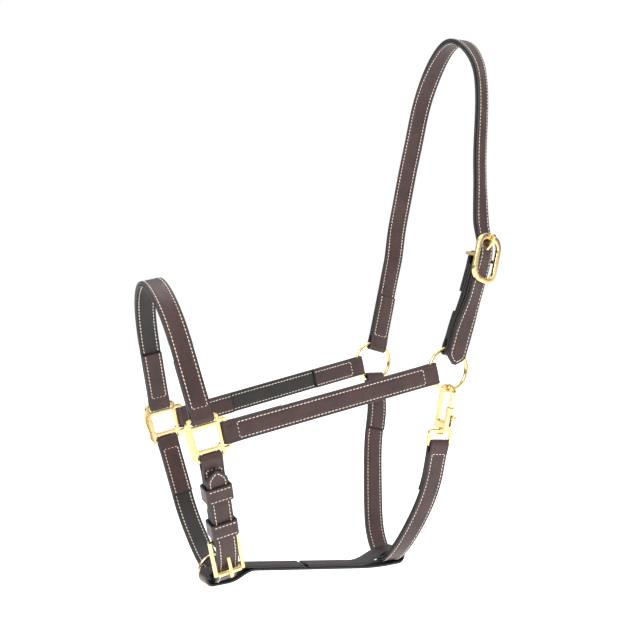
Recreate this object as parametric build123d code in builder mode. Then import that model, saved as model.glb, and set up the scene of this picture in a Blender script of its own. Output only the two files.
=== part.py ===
from build123d import *
import os
from math import cos, hypot, radians, sin

# A leather headcollar for a horse, worn at full-size head shape. Millimetres, +Z up, the nose towards
# -X and the horse's left (near) side towards -Y. The origin is the underside of the crown strap where
# it lies over the poll.

# ---- Leather ----
STRAP_WIDTH = 22.0
PLY = 2.7
PLY_GAP = 0.2
PLY_PITCH = PLY + PLY_GAP
BILLET_RISE = 8.2
TUCK = 60.0
SHORT_TUCK = 36.0
LINING_SHY = 9.0
POINT_LENGTH = 11.0
LOOP_CLEARANCE = 0.45
LOOP_TAPER = 15.0

# ---- Rings and castings ----
RING_RADIUS = 22.2
RING_WIRE = 4.4
RING_HALF_SPAN = 86.0
RING_X = -60.0
RING_Z = -370.0
LEAD_RING_RADIUS = 15.2
LEAD_RING_WIRE = 4.2
LEAD_RING_Y = 5.0

SQUARE_LEAN = 12.8
SQUARE_TO_RING = 271.0
SQUARE_HALF_SPAN = 76.0
SQUARE_THICKNESS = 4.2
WINDOW_WIDTH = 24.0
WINDOW_HEIGHT = 20.0
WINDOW_RADIUS = 4.0
CORNER = 4.5
BAR = 4.0
BAIL_REACH = 22.0
SLOT_LENGTH = 24.6
REAR_BAIL = BAIL_REACH + (WINDOW_WIDTH - WINDOW_HEIGHT) / 2 - BAR / 2
EDGE_SOFTNESS = 1.0
BAIL_ACROSS = 2 * (hypot(BAR / 2 - EDGE_SOFTNESS, SQUARE_THICKNESS / 2 - EDGE_SOFTNESS) + EDGE_SOFTNESS)

# ---- Crown ----
CROWN_LEAN = 14.8
CROWN_SPREAD = 4.5
CROWN_STRAIGHT = 103.0
CROWN_TWIST = 30.0
BUCKLE_TWIST = 20.0
CROWN_TOP = PLY / 2
CROWN_BUCKLE_AT = 101.0
CROWN_TAIL_DROP = 16.0
CROWN_TAIL_RISE = 7.8
CROWN_BUCKLE_WIDTH = 42.0
CROWN_BUCKLE_HEIGHT = 52.0
CROWN_BUCKLE_RIM = 6.0
CROWN_BUCKLE_DEPTH = 4.4
CROWN_BUCKLE_SOFTNESS = 1.6
CROWN_BAR = 3.6

# ---- Chin ----
CHIN_HEEL_AT = 88.0
CHIN_BUCKLE_LENGTH = 33.0
CHIN_BUCKLE_INNER = 25.0
CHIN_BAR = 3.6
ROLLER_RADIUS = 3.0
ROLLER_RISE = 5.0
TONGUE_THICKNESS = 2.6
TONGUE_WIDTH = 3.2
TONGUE_PLAY = 0.15
TONGUE_EYE_WALL = 1.6
KEEPER_LENGTH = 16.0
KEEPER_WALL = 2.4
SLIDING_KEEPER_AT = 34.0
FIXED_KEEPER_AT = 72.0
HOLE_PITCH = 24.5
HOLE = 4.6

# ---- Throat and snap ----
THROAT_FALL = 214.5
THROAT_FORWARD = 28.0
SNAP_LENGTH = 60.5
SNAP_TURN = 18.0
SNAP_THICKNESS = 6.0
SNAP_BOLT = 3.8
SNAP_TRAVEL = 8.0

LEFT_SIDE = Plane.XZ


def lean_plane(angle, origin, lateral):
    """A plane across the head, its local x to the far side and its local y up, leaning by angle."""
    back = Vector(cos(radians(angle)), 0, sin(radians(angle)))
    return Plane(origin=origin, x_dir=lateral, z_dir=back)


def square_point(along, side, up):
    """A point given from the middle between the squares: back along the cheek, far side, up."""
    back = Vector(cos(radians(SQUARE_LEAN)), 0, sin(radians(SQUARE_LEAN)))
    rise = Vector(-sin(radians(SQUARE_LEAN)), 0, cos(radians(SQUARE_LEAN)))
    return SQUARE_MIDDLE + back * along + rise * up + Vector(0, side, 0)


RING_MIDDLE = Vector(RING_X, 0, RING_Z)
SQUARE_MIDDLE = RING_MIDDLE - Vector(
    SQUARE_TO_RING * cos(radians(SQUARE_LEAN)), 0, SQUARE_TO_RING * sin(radians(SQUARE_LEAN))
)
FRONT_PLANE = lean_plane(SQUARE_LEAN, SQUARE_MIDDLE, (0, 1, 0))
RING_SAG = RING_RADIUS - (RING_RADIUS**2 - (STRAP_WIDTH / 2) ** 2) ** 0.5 + 0.3


def flat_direction(angle):
    """A unit direction in a sketch, measured from its local x."""
    return Vector(cos(radians(angle)), sin(radians(angle)))


def quarter_turn(direction):
    """The direction turned a quarter turn to the left."""
    return Vector(-direction.Y, direction.X)


def ease(position, stops):
    """A value that moves smoothly between (position, value) stops."""
    if position <= stops[0][0]:
        return stops[0][1]
    for (start, low), (end, high) in zip(stops, stops[1:]):
        if position <= end:
            share = (position - start) / (end - start)
            return low + (high - low) * share**2 * (3 - 2 * share)
    return stops[-1][1]


def fold(bar, toward, outward, bar_size, sag=Vector(0, 0), tuck=TUCK):
    """Middle line of a ply that goes round a bar and comes back inside, from its straight run on.

    A curved bar bows away from the strap's edges by the sag, so the fold reaches that much further.
    """
    radius = bar_size / 2 + LOOP_CLEARANCE + PLY / 2
    outer_start = bar - toward * LOOP_TAPER + outward * PLY_PITCH
    inner_start = bar - toward * LOOP_TAPER - outward * PLY_PITCH
    crest = bar + sag + outward * radius
    trough = bar + sag - outward * radius
    return [
        Spline(outer_start, crest, tangents=(toward, toward)),
        ThreePointArc(crest, bar + sag + toward * radius, trough),
        Spline(trough, inner_start, tangents=(-toward, -toward)),
        Line(inner_start, bar - toward * tuck - outward * PLY_PITCH),
    ]


def beside(curve, distance, samples=24):
    """Points along a flat curve, moved to its left by a distance."""
    points = []
    for step in range(samples + 1):
        heading = curve % (step / samples)
        points.append(curve @ (step / samples) + quarter_turn(heading) * distance)
    return points


def side_line(run, distance):
    """One side of a ply whose middle line is this run, drawn in the active sketch."""
    if run.geom_type == GeomType.LINE:
        Line(*beside(run, distance, 1))
    elif run.geom_type == GeomType.CIRCLE:
        ThreePointArc(*beside(run, distance, 2))
    else:
        Spline(*beside(run, distance, 2 + round(run.length / 5)), tangents=(run % 0, run % 1))


def ply_outline(path, thickness=PLY):
    """Both sides and both ends of a ply whose middle line is a tangent-continuous path."""
    half = thickness / 2
    ends = []
    for run in path:
        side_line(run, half)
        side_line(run, -half)
        ends += [(run @ 0, run % 0), (run @ 1, run % 1)]
    for point, heading in ends:
        meeting = [other for other, _ in ends if (other - point).length < 0.01]
        if len(meeting) == 1:
            Line(point + quarter_turn(heading) * half, point - quarter_turn(heading) * half)


def flat_ply(plane, path):
    """A ply whose middle line lies in a plane, as wide as the straps."""
    with BuildPart() as ply:
        with BuildSketch(plane):
            with BuildLine():
                ply_outline(path)
            make_face()
        extrude(amount=STRAP_WIDTH / 2, both=True)
    return ply


def straight_strap(plane, length, bars, sags, tuck):
    """A ply folded round a bar at each end of a straight run, in a plane whose x runs along it."""
    start = fold(Vector(0, 0), Vector(-1, 0), Vector(0, 1), bars[0], Vector(-sags[0], 0), tuck)
    end = fold(Vector(length, 0), Vector(1, 0), Vector(0, 1), bars[1], Vector(sags[1], 0), tuck)
    return flat_ply(plane, start + [Line(start[0] @ 0, end[0] @ 0)] + end)


def straight_lining(plane, length):
    """The middle ply of a straight strap, stopping short of both folds."""
    return flat_ply(plane, [Line((LINING_SHY, 0), (length - LINING_SHY, 0))])


# ---- Cheek straps ----
cheek_start = square_point(REAR_BAIL, SQUARE_HALF_SPAN, 0)
cheek_end = square_point(SQUARE_TO_RING - RING_RADIUS, RING_HALF_SPAN, 0)
cheek_length = (cheek_end - cheek_start).length
cheek_up = Vector(-sin(radians(SQUARE_LEAN)), 0, cos(radians(SQUARE_LEAN)))
cheek_plane = Plane(origin=cheek_start, x_dir=cheek_end - cheek_start, z_dir=cheek_up)

far_cheek_strap = straight_strap(cheek_plane, cheek_length, (BAIL_ACROSS, RING_WIRE), (0, RING_SAG), TUCK)
far_cheek_lining = straight_lining(cheek_plane, cheek_length)

with BuildPart() as near_cheek_strap:
    mirror(far_cheek_strap.part, about=LEFT_SIDE)
with BuildPart() as near_cheek_lining:
    mirror(far_cheek_lining.part, about=LEFT_SIDE)

# ---- Noseband ----
NOSE_ANGLE = 13.0
NOSE_STRAIGHT = 62.0
nose_bar = Vector(SQUARE_HALF_SPAN, BAIL_REACH - BAR / 2)
nose_up = flat_direction(90 + NOSE_ANGLE)
nose_end = nose_bar + nose_up * NOSE_STRAIGHT
nose_curve = Spline(
    nose_end,
    (50.5, 114.5),
    (29.0, 142.0),
    (0, 153.5),
    (-29.0, 142.0),
    (-50.5, 114.5),
    (-nose_end.X, nose_end.Y),
    tangents=(nose_up, (nose_up.X, -nose_up.Y)),
)

left_up = Vector(-nose_up.X, nose_up.Y)
left_bar = Vector(-nose_bar.X, nose_bar.Y)
right_fold = fold(nose_bar, -nose_up, -quarter_turn(nose_up), BAIL_ACROSS)
left_fold = fold(left_bar, -left_up, quarter_turn(left_up), BAIL_ACROSS)
crest_line = Spline(*beside(nose_curve, -PLY_PITCH), tangents=(nose_curve % 0, nose_curve % 1))
noseband = flat_ply(
    FRONT_PLANE,
    right_fold
    + [Line(right_fold[0] @ 0, crest_line @ 0), crest_line, Line(crest_line @ 1, left_fold[0] @ 0)]
    + left_fold,
)
noseband_lining = flat_ply(
    FRONT_PLANE,
    [
        Line(nose_bar + nose_up * LINING_SHY, nose_curve @ 0),
        nose_curve,
        Line(nose_curve @ 1, left_bar + left_up * LINING_SHY),
    ],
)

# ---- Chin: chape, strap, keepers and roller buckle ----
CHIN_ANGLE = 12.5
chin_bar = Vector(-SQUARE_HALF_SPAN, BAR / 2 - BAIL_REACH)
chin_down = flat_direction(CHIN_ANGLE - 90)
chin_outward = -quarter_turn(chin_down)
CHIN_PLANE = Plane(
    origin=square_point(0, chin_bar.X, chin_bar.Y),
    x_dir=FRONT_PLANE.x_dir * chin_down.X + FRONT_PLANE.y_dir * chin_down.Y,
    z_dir=-FRONT_PLANE.z_dir,
)
CHIN_FACE = Plane(origin=CHIN_PLANE.origin, x_dir=CHIN_PLANE.x_dir, z_dir=CHIN_PLANE.y_dir)


def chin_point(down, out):
    """A point of the front plane, given down the chin chape and outward from it."""
    return chin_bar + chin_down * down + chin_outward * out


def pointed_end_corners(tip):
    """The two corners to cut from a strap end that starts at local x = tip and runs towards +x."""
    half = STRAP_WIDTH / 2
    Polygon(
        (tip - PLY, 0),
        (tip, 0),
        (tip + POINT_LENGTH, half),
        (tip + POINT_LENGTH, half + PLY),
        (tip - PLY, half + PLY),
        align=None,
    )
    mirror(about=Plane.XZ)


TONGUE_SLOT_WIDTH = 5.0
CHIN_LINING_RISE = BILLET_RISE - PLY_PITCH / 2
CHIN_TIP_AT = 9.0
CHIN_SLOT_AT = 100.0
CHIN_SLOT_LENGTH = 21.0
roller_at = CHIN_HEEL_AT + CHIN_BUCKLE_LENGTH
under_roller = ROLLER_RISE - ROLLER_RADIUS - 4 * LOOP_CLEARANCE - PLY / 2 - PLY_PITCH
far_chin_bar = Vector(SQUARE_HALF_SPAN, chin_bar.Y)
far_chin_down = flat_direction(-90 - CHIN_ANGLE)
chin_curve = Spline(
    far_chin_bar + far_chin_down * 68.0,
    (42.0, -122.0),
    (18.0, -143.0),
    (-8.0, -150.5),
    (-33.0, -149.0),
    chin_point(roller_at, under_roller),
    chin_point(CHIN_HEEL_AT - BAR / 2, CHIN_LINING_RISE),
    tangents=(far_chin_down, -chin_down),
)

chin_outside = Spline(*beside(chin_curve, PLY_PITCH, 40), tangents=(chin_curve % 0, chin_curve % 1))
chin_fold = fold(far_chin_bar, -far_chin_down, quarter_turn(far_chin_down), BAIL_ACROSS)
chin_ply = flat_ply(
    FRONT_PLANE,
    chin_fold
    + [
        Line(chin_fold[0] @ 0, chin_outside @ 0),
        chin_outside,
        Line(chin_outside @ 1, chin_point(CHIN_TIP_AT, CHIN_LINING_RISE + PLY_PITCH)),
    ],
)
chin_lining_ply = flat_ply(
    FRONT_PLANE,
    [
        Line(far_chin_bar + far_chin_down * LINING_SHY, chin_curve @ 0),
        chin_curve,
        Line(chin_curve @ 1, chin_point(CHIN_TIP_AT, CHIN_LINING_RISE)),
    ],
)
with BuildPart() as chin_cutter:
    with BuildSketch(CHIN_FACE):
        pointed_end_corners(CHIN_TIP_AT)
        with Locations((CHIN_SLOT_AT, 0)):
            SlotOverall(CHIN_SLOT_LENGTH, TONGUE_SLOT_WIDTH)
        with Locations((CHIN_SLOT_AT - HOLE_PITCH, 0), (CHIN_SLOT_AT - 2 * HOLE_PITCH, 0)):
            Circle(HOLE / 2)
    extrude(amount=4 * PLY_PITCH + PLY, both=True)
with BuildPart() as chin_strap:
    add(chin_ply)
    add(chin_cutter, mode=Mode.SUBTRACT)
with BuildPart() as chin_lining:
    add(chin_lining_ply)
    add(chin_cutter, mode=Mode.SUBTRACT)

with BuildPart() as chin_buckle_chape:
    add(straight_strap(CHIN_PLANE, CHIN_HEEL_AT, (BAIL_ACROSS, CHIN_BAR), (0, 0), SHORT_TUCK))
    with BuildSketch(CHIN_PLANE):
        with Locations((CHIN_HEEL_AT, 0)):
            Rectangle(2 * LINING_SHY, 6 * PLY)
    extrude(amount=TONGUE_SLOT_WIDTH / 2, both=True, mode=Mode.SUBTRACT)
chin_chape_lining = straight_lining(CHIN_PLANE, CHIN_HEEL_AT)


def keeper(at):
    """A leather loop round the chape and the strap end that lies on it."""
    inner_face = -PLY_PITCH - PLY / 2 - LOOP_CLEARANCE
    outer_face = CHIN_LINING_RISE + PLY_PITCH + PLY / 2 + LOOP_CLEARANCE
    depth = outer_face - inner_face
    width = STRAP_WIDTH + 2 * LOOP_CLEARANCE
    origin = CHIN_PLANE.from_local_coords(Vector(at, (outer_face + inner_face) / 2, 0))
    plane = Plane(origin=origin, x_dir=CHIN_PLANE.y_dir, z_dir=CHIN_PLANE.x_dir)
    with BuildPart() as loop:
        with BuildSketch(plane):
            RectangleRounded(depth + 2 * KEEPER_WALL, width + 2 * KEEPER_WALL, KEEPER_WALL)
            Rectangle(depth, width, mode=Mode.SUBTRACT)
        extrude(amount=KEEPER_LENGTH / 2, both=True)
    return loop


sliding_keeper = keeper(SLIDING_KEEPER_AT)
fixed_keeper = keeper(FIXED_KEEPER_AT)

chin_frame_side = CHIN_BUCKLE_INNER / 2 + CHIN_BAR / 2
chin_frame_length = hypot(CHIN_BUCKLE_LENGTH, ROLLER_RISE)
heel = CHIN_PLANE.from_local_coords(Vector(CHIN_HEEL_AT, 0, 0))
roller_axis = CHIN_PLANE.from_local_coords(Vector(roller_at, ROLLER_RISE, 0))
chin_frame_plane = Plane(origin=heel, x_dir=roller_axis - heel, z_dir=CHIN_PLANE.z_dir)
AXLE = 3.2

with BuildPart() as chin_buckle_frame:
    for side in (-1, 1):
        with BuildSketch(chin_frame_plane.offset(side * chin_frame_side)):
            with Locations((chin_frame_length / 2, 0)):
                SlotCenterToCenter(chin_frame_length, CHIN_BAR)
        extrude(amount=CHIN_BAR / 2, both=True)
    fillet(chin_buckle_frame.faces().filter_by(GeomType.PLANE).edges(), CHIN_BAR / 6)
    with BuildSketch(chin_frame_plane):
        Circle(CHIN_BAR / 2)
        with Locations((chin_frame_length, 0)):
            Circle(AXLE / 2)
    extrude(amount=chin_frame_side, both=True)

with BuildPart() as chin_buckle_roller:
    with BuildSketch(chin_frame_plane):
        with Locations((chin_frame_length, 0)):
            Circle(ROLLER_RADIUS)
            Circle(AXLE / 2 + 0.1, mode=Mode.SUBTRACT)
    extrude(amount=CHIN_BUCKLE_INNER / 2 - 0.4, both=True)
    fillet(chin_buckle_roller.edges().filter_by(GeomType.CIRCLE).group_by(SortBy.RADIUS)[-1], 0.4)


def tongue(plane, bar, reach, rest, overhang):
    """A buckle tongue: an eye round a bar at the plane's origin and a bent arm that rests at its end.

    The arm runs out by reach to lie on a bar whose top is at the height rest, and goes past it.
    """
    eye = bar / 2 + TONGUE_PLAY
    clear = TONGUE_THICKNESS / 2 + TONGUE_PLAY
    arm = Spline(
        (eye, eye),
        (0.45 * reach, 0.7 * rest),
        (reach, rest + clear + TONGUE_PLAY),
        (reach + overhang, rest + clear - TONGUE_PLAY),
    )
    with BuildPart() as piece:
        with BuildSketch(plane):
            with BuildLine():
                ply_outline([arm], TONGUE_THICKNESS)
            make_face()
            Circle(eye + TONGUE_EYE_WALL)
            Circle(eye, mode=Mode.SUBTRACT)
        extrude(amount=TONGUE_WIDTH / 2, both=True)
    return piece


chin_buckle_tongue = tongue(
    Plane(origin=heel, x_dir=CHIN_PLANE.x_dir, z_dir=CHIN_PLANE.z_dir),
    CHIN_BAR,
    CHIN_BUCKLE_LENGTH - 1.0,
    ROLLER_RISE + ROLLER_RADIUS,
    5.0,
)

# ---- Halter squares ----


def across_normal(edge, plane):
    """Whether an edge runs round a face of an extrusion, and not along its depth."""
    return abs(edge.tangent_at(0.5).dot(plane.z_dir)) < 0.5


def halter_square(plane):
    """A cast square: a window between three slots, and a bowed bar down its front."""
    half_span = SLOT_LENGTH / 2 + BAR
    half_width = WINDOW_WIDTH / 2 + BAR
    half_height = WINDOW_HEIGHT / 2 + BAR
    slot = BAIL_REACH - half_height - BAR
    rear_reach = half_width + slot + BAR
    bow_start = Vector(CORNER - half_span, BAIL_REACH)
    with BuildPart() as square:
        with BuildSketch(plane):
            RectangleRounded(2 * half_span, 2 * BAIL_REACH, CORNER)
            with Locations((rear_reach / 2, 0)):
                RectangleRounded(rear_reach, 2 * half_span, CORNER)
            with BuildLine():
                bow = Spline(
                    bow_start,
                    (-18.2, 15.0),
                    (-20.4, 2.0),
                    (-18.8, -8.0),
                    (bow_start.X, -bow_start.Y),
                    tangents=((-1, 0), (1, -0.6)),
                )
                Line(bow @ 0, bow @ 1)
            make_face()
            RectangleRounded(WINDOW_WIDTH, WINDOW_HEIGHT, WINDOW_RADIUS, mode=Mode.SUBTRACT)
            for side in (-1, 1):
                with Locations((0, side * (half_height + slot / 2))):
                    Rectangle(SLOT_LENGTH, slot, mode=Mode.SUBTRACT)
            with Locations((half_width + slot / 2, 0)):
                Rectangle(slot, SLOT_LENGTH, mode=Mode.SUBTRACT)
        extrude(amount=SQUARE_THICKNESS / 2, both=True)
        rims = square.edges().filter_by(lambda edge: across_normal(edge, plane))
        fillet(rims, EDGE_SOFTNESS)
    return square


far_square_plane = Plane(
    origin=square_point(0, SQUARE_HALF_SPAN, 0), x_dir=FRONT_PLANE.z_dir, z_dir=(0, -1, 0)
)
far_square = halter_square(far_square_plane)
with BuildPart() as near_square:
    mirror(far_square.part, about=LEFT_SIDE)

# ---- Rings ----


def wire_ring(plane, radius, wire):
    """A closed ring of round wire lying in a plane."""
    with BuildPart() as ring:
        with BuildSketch(Plane(origin=plane.origin, x_dir=plane.x_dir, z_dir=plane.y_dir)):
            with Locations((radius, 0)):
                Circle(wire / 2)
        revolve(axis=Axis(plane.origin, plane.z_dir))
    return ring


far_ring_middle = RING_MIDDLE + Vector(0, RING_HALF_SPAN, 0)
far_ring = wire_ring(Plane(origin=far_ring_middle, x_dir=(1, 0, 0), z_dir=(0, 1, 0)), RING_RADIUS, RING_WIRE)
with BuildPart() as near_ring:
    mirror(far_ring.part, about=LEFT_SIDE)

LEAD_RING_UP = -153.2
lead_ring = wire_ring(
    Plane(origin=square_point(0, LEAD_RING_Y, LEAD_RING_UP), x_dir=(1, 0, 0), z_dir=(0, 1, 0)),
    LEAD_RING_RADIUS,
    LEAD_RING_WIRE,
)

# ---- Crown: reference line from the near ring over the poll to the far ring ----
ring_top_x = RING_X + RING_RADIUS * sin(radians(CROWN_LEAN))
ring_top_z = RING_Z + RING_RADIUS * cos(radians(CROWN_LEAN))
far_rise = Vector(
    sin(radians(CROWN_LEAN)) * cos(radians(CROWN_SPREAD)),
    sin(radians(CROWN_SPREAD)),
    cos(radians(CROWN_LEAN)) * cos(radians(CROWN_SPREAD)),
)
near_rise = Vector(far_rise.X, -far_rise.Y, far_rise.Z)
far_ring_top = Vector(ring_top_x, RING_HALF_SPAN, ring_top_z)
near_ring_top = Vector(ring_top_x, -RING_HALF_SPAN, ring_top_z)
arch_side = [
    (-24.5, 92.2, -216.0),
    (-21.0, 85.0, -178.0),
    (-16.5, 77.5, -138.0),
    (-10.5, 71.2, -98.0),
    (-5.5, 63.5, -60.0),
    (-1.5, 47.0, -28.0),
]
arch_points = [near_ring_top + near_rise * CROWN_STRAIGHT]
arch_points += [Vector(x, -y, z) for x, y, z in arch_side]
arch_points += [Vector(0, 0, CROWN_TOP)]
arch_points += [Vector(*point) for point in reversed(arch_side)]
arch_points += [far_ring_top + far_rise * CROWN_STRAIGHT]
arch = Spline(*arch_points, tangents=(near_rise, -far_rise))
crown_line = Wire([Line(near_ring_top, arch @ 0), arch, Line(arch @ 1, far_ring_top)])
crown_length = crown_line.length
crown_twists = [
    (LOOP_TAPER, 0),
    (CROWN_BUCKLE_AT - 40.0, BUCKLE_TWIST),
    (CROWN_BUCKLE_AT + 30.0, BUCKLE_TWIST),
    (CROWN_BUCKLE_AT + 90.0, CROWN_TWIST),
    (crown_length / 2 - 90.0, CROWN_TWIST),
    (crown_length / 2, 0),
    (crown_length / 2 + 90.0, -CROWN_TWIST),
    (crown_length - CROWN_BUCKLE_AT - 70.0, -CROWN_TWIST),
    (crown_length - CROWN_BUCKLE_AT + 30.0, 0),
]
no_twists = [(0, 0)]
no_lifts = [(0, 0)]
tail_lifts = [
    (LOOP_TAPER, CROWN_TAIL_RISE),
    (CROWN_BUCKLE_AT / 2, CHIN_LINING_RISE),
    (CROWN_BUCKLE_AT - 2.0, CHIN_LINING_RISE),
    (CROWN_BUCKLE_AT + 40.0, 0),
]


def strap_plane(line, at, twists):
    """The plane of a strap at a length along its line: x along it, y outward, z across it."""
    within = min(max(at, 0), line.length)
    along = line.tangent_at(within, position_mode=PositionMode.LENGTH)
    middle = line.position_at(within, position_mode=PositionMode.LENGTH) + along * (at - within)
    twist = radians(ease(at, twists))
    across = Vector(cos(twist), sin(twist), 0)
    across = across - along * across.dot(along)
    return Plane(origin=middle, x_dir=along, z_dir=across)


def stations(start, end, pitch):
    """Lengths from start to end: both ends and the whole pitches between them."""
    first = int(start // pitch) + 1
    whole = [pitch * step for step in range(first, int(end // pitch) + 1)]
    inside = [at for at in whole if at - start > pitch / 4 and end - at > pitch / 4]
    return [start] + inside + [end]


def ply_sections(line, start, end, rise, twists=no_twists, lifts=no_lifts, pitch=12.0):
    """Cross-sections of a ply along a line, to be lofted."""
    sections = []
    for at in stations(start, end, pitch):
        plane = strap_plane(line, at, twists)
        origin = plane.from_local_coords(Vector(0, rise + ease(at, lifts), 0))
        with BuildSketch(Plane(origin=origin, x_dir=plane.z_dir, z_dir=plane.x_dir)) as section:
            Rectangle(STRAP_WIDTH, PLY)
        sections.append(section.sketch)
    return sections


def lofted_fold(plane, toward, bar_size, sag=Vector(0, 0, 0)):
    """The folded end of a lofted strap, round a bar at the origin of the strap's plane."""
    local_sag = plane.to_local_coords(plane.origin + sag)
    path = fold(
        Vector(0, 0), toward, Vector(0, 1), bar_size, Vector(local_sag.X, local_sag.Y), LOOP_TAPER + 0.5
    )
    return flat_ply(plane, path)


CROWN_SLOT_AT = CROWN_BUCKLE_AT + 10.0
CROWN_SLOT_LENGTH = 25.0
tail_tip = -CROWN_TAIL_DROP
tail_plane = strap_plane(crown_line, 0, crown_twists)
slot_plane = strap_plane(crown_line, CROWN_SLOT_AT, crown_twists)
with BuildPart() as crown_cutter:
    with BuildSketch(Plane(origin=tail_plane.origin, x_dir=tail_plane.x_dir, z_dir=tail_plane.y_dir)):
        pointed_end_corners(tail_tip)
    extrude(amount=3 * BILLET_RISE)
    with BuildSketch(Plane(origin=slot_plane.origin, x_dir=slot_plane.x_dir, z_dir=slot_plane.y_dir)):
        SlotOverall(CROWN_SLOT_LENGTH, TONGUE_SLOT_WIDTH)
    extrude(amount=3 * BILLET_RISE, both=True)

far_end = strap_plane(crown_line, crown_length, crown_twists)
fold_end = LOOP_TAPER + 0.5
crown_wire = RING_WIRE + 2 * RING_SAG * sin(radians(CROWN_SPREAD))
far_ring_sag = (far_ring_top - RING_MIDDLE - Vector(0, RING_HALF_SPAN, 0)).normalized() * -RING_SAG
with BuildPart() as crown_strap:
    loft(ply_sections(crown_line, tail_tip, crown_length - LOOP_TAPER, PLY_PITCH, crown_twists, tail_lifts))
    add(lofted_fold(far_end, Vector(1, 0), crown_wire, far_ring_sag))
    loft(ply_sections(crown_line, crown_length - TUCK, crown_length - fold_end, -PLY_PITCH, crown_twists))
    add(crown_cutter, mode=Mode.SUBTRACT)

with BuildPart() as crown_lining:
    loft(ply_sections(crown_line, tail_tip, crown_length - LINING_SHY, 0, crown_twists, tail_lifts))
    add(crown_cutter, mode=Mode.SUBTRACT)

chape_start = strap_plane(crown_line, 0, crown_twists)
chape_end = strap_plane(crown_line, CROWN_BUCKLE_AT, crown_twists)
CHAPE_TUCK = 40.0
chape_stop = CROWN_BUCKLE_AT - LOOP_TAPER
with BuildPart() as crown_buckle_chape:
    loft(ply_sections(crown_line, LOOP_TAPER, chape_stop, PLY_PITCH, crown_twists))
    add(lofted_fold(chape_start, Vector(-1, 0), crown_wire, far_ring_sag))
    add(lofted_fold(chape_end, Vector(1, 0), CROWN_BAR))
    loft(ply_sections(crown_line, fold_end, CHAPE_TUCK, -PLY_PITCH, crown_twists))
    loft(
        ply_sections(
            crown_line, CROWN_BUCKLE_AT - CHAPE_TUCK, CROWN_BUCKLE_AT - fold_end, -PLY_PITCH, crown_twists
        )
    )
    with BuildSketch(chape_end):
        Rectangle(2 * LINING_SHY, 6 * PLY)
    extrude(amount=TONGUE_SLOT_WIDTH / 2, both=True, mode=Mode.SUBTRACT)

with BuildPart() as crown_chape_lining:
    loft(ply_sections(crown_line, LINING_SHY, CROWN_BUCKLE_AT - LINING_SHY, 0, crown_twists))

# ---- Crown buckle ----
TOP_BAR_RISE = 9.6
LOW_BAR_RISE = 13.8
bar_offset = CROWN_BUCKLE_HEIGHT / 2 - CROWN_BUCKLE_RIM / 2
rim_middle = chape_end.from_local_coords(Vector(0, (TOP_BAR_RISE + LOW_BAR_RISE) / 2, 0))
rim_top = chape_end.from_local_coords(Vector(bar_offset, TOP_BAR_RISE, 0))
rim_plane = Plane(origin=rim_middle, x_dir=rim_top - rim_middle, z_dir=chape_end.z_dir)
rim_face = Plane(origin=rim_middle, x_dir=rim_plane.x_dir, z_dir=rim_plane.y_dir)
side_bar = CROWN_BUCKLE_WIDTH / 2 - CROWN_BUCKLE_RIM / 2

with BuildPart() as crown_buckle_frame:
    with BuildSketch(rim_face):
        RectangleRounded(CROWN_BUCKLE_HEIGHT, CROWN_BUCKLE_WIDTH, 0.34 * CROWN_BUCKLE_WIDTH)
        RectangleRounded(
            CROWN_BUCKLE_HEIGHT - 2 * CROWN_BUCKLE_RIM,
            CROWN_BUCKLE_WIDTH - 2 * CROWN_BUCKLE_RIM,
            0.24 * CROWN_BUCKLE_WIDTH,
            mode=Mode.SUBTRACT,
        )
    extrude(amount=CROWN_BUCKLE_DEPTH / 2, both=True)
    rims = crown_buckle_frame.edges().filter_by(lambda edge: across_normal(edge, rim_face))
    fillet(rims, CROWN_BUCKLE_SOFTNESS)
    with BuildSketch(chape_end):
        Circle(CROWN_BAR / 2)
    extrude(amount=side_bar, both=True)
    for side in (-1, 1):
        with BuildSketch(chape_end.offset(side * side_bar)):
            with Locations((0, (TOP_BAR_RISE + LOW_BAR_RISE) / 4)):
                SlotCenterToCenter((TOP_BAR_RISE + LOW_BAR_RISE) / 2, CROWN_BAR, rotation=90)
        extrude(amount=CROWN_BAR / 2, both=True)

crown_buckle_tongue = tongue(
    chape_end, CROWN_BAR, bar_offset - 1.0, TOP_BAR_RISE + CROWN_BUCKLE_DEPTH / 2, 4.4
)

# ---- Throat strap ----
THROAT_ANGLE = 14.0
SNAP_LEAN = 3.3
THROAT_BACK = 4.0
far_ring_bottom = RING_MIDDLE + Vector(
    RING_RADIUS * sin(radians(THROAT_BACK)), RING_HALF_SPAN, -RING_RADIUS * cos(radians(THROAT_BACK))
)
near_ring_bottom = RING_MIDDLE + Vector(0, -RING_HALF_SPAN, -RING_RADIUS)
throat_start = Vector(0, -sin(radians(THROAT_ANGLE)), -cos(radians(THROAT_ANGLE)))
snap_down = Vector(-sin(radians(SNAP_LEAN)), -throat_start.Y, throat_start.Z).normalized()
snap_bar = near_ring_bottom + snap_down * SNAP_LENGTH
throat_bottom = RING_MIDDLE + Vector(-THROAT_FORWARD, 0, -THROAT_FALL)
throat_line = Spline(
    far_ring_bottom,
    far_ring_bottom + throat_start * (2 * LOOP_TAPER),
    (-66.0, 70.5, -455.0),
    (-73.0, 60.0, -498.0),
    (-81.0, 43.5, -538.0),
    (-86.5, 25.5, -568.0),
    throat_bottom,
    (-86.0, -25.5, -570.0),
    (-79.0, -43.5, -543.0),
    snap_bar + snap_down * 40.0,
    snap_bar + snap_down * LOOP_TAPER,
    snap_bar,
    tangents=(throat_start, -snap_down),
)
throat_length = throat_line.length
THROAT_TUCK = 55.0
throat_wire = RING_WIRE + 2 * RING_SAG * sin(radians(THROAT_ANGLE))
throat_top = strap_plane(throat_line, 0, no_twists)
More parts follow.
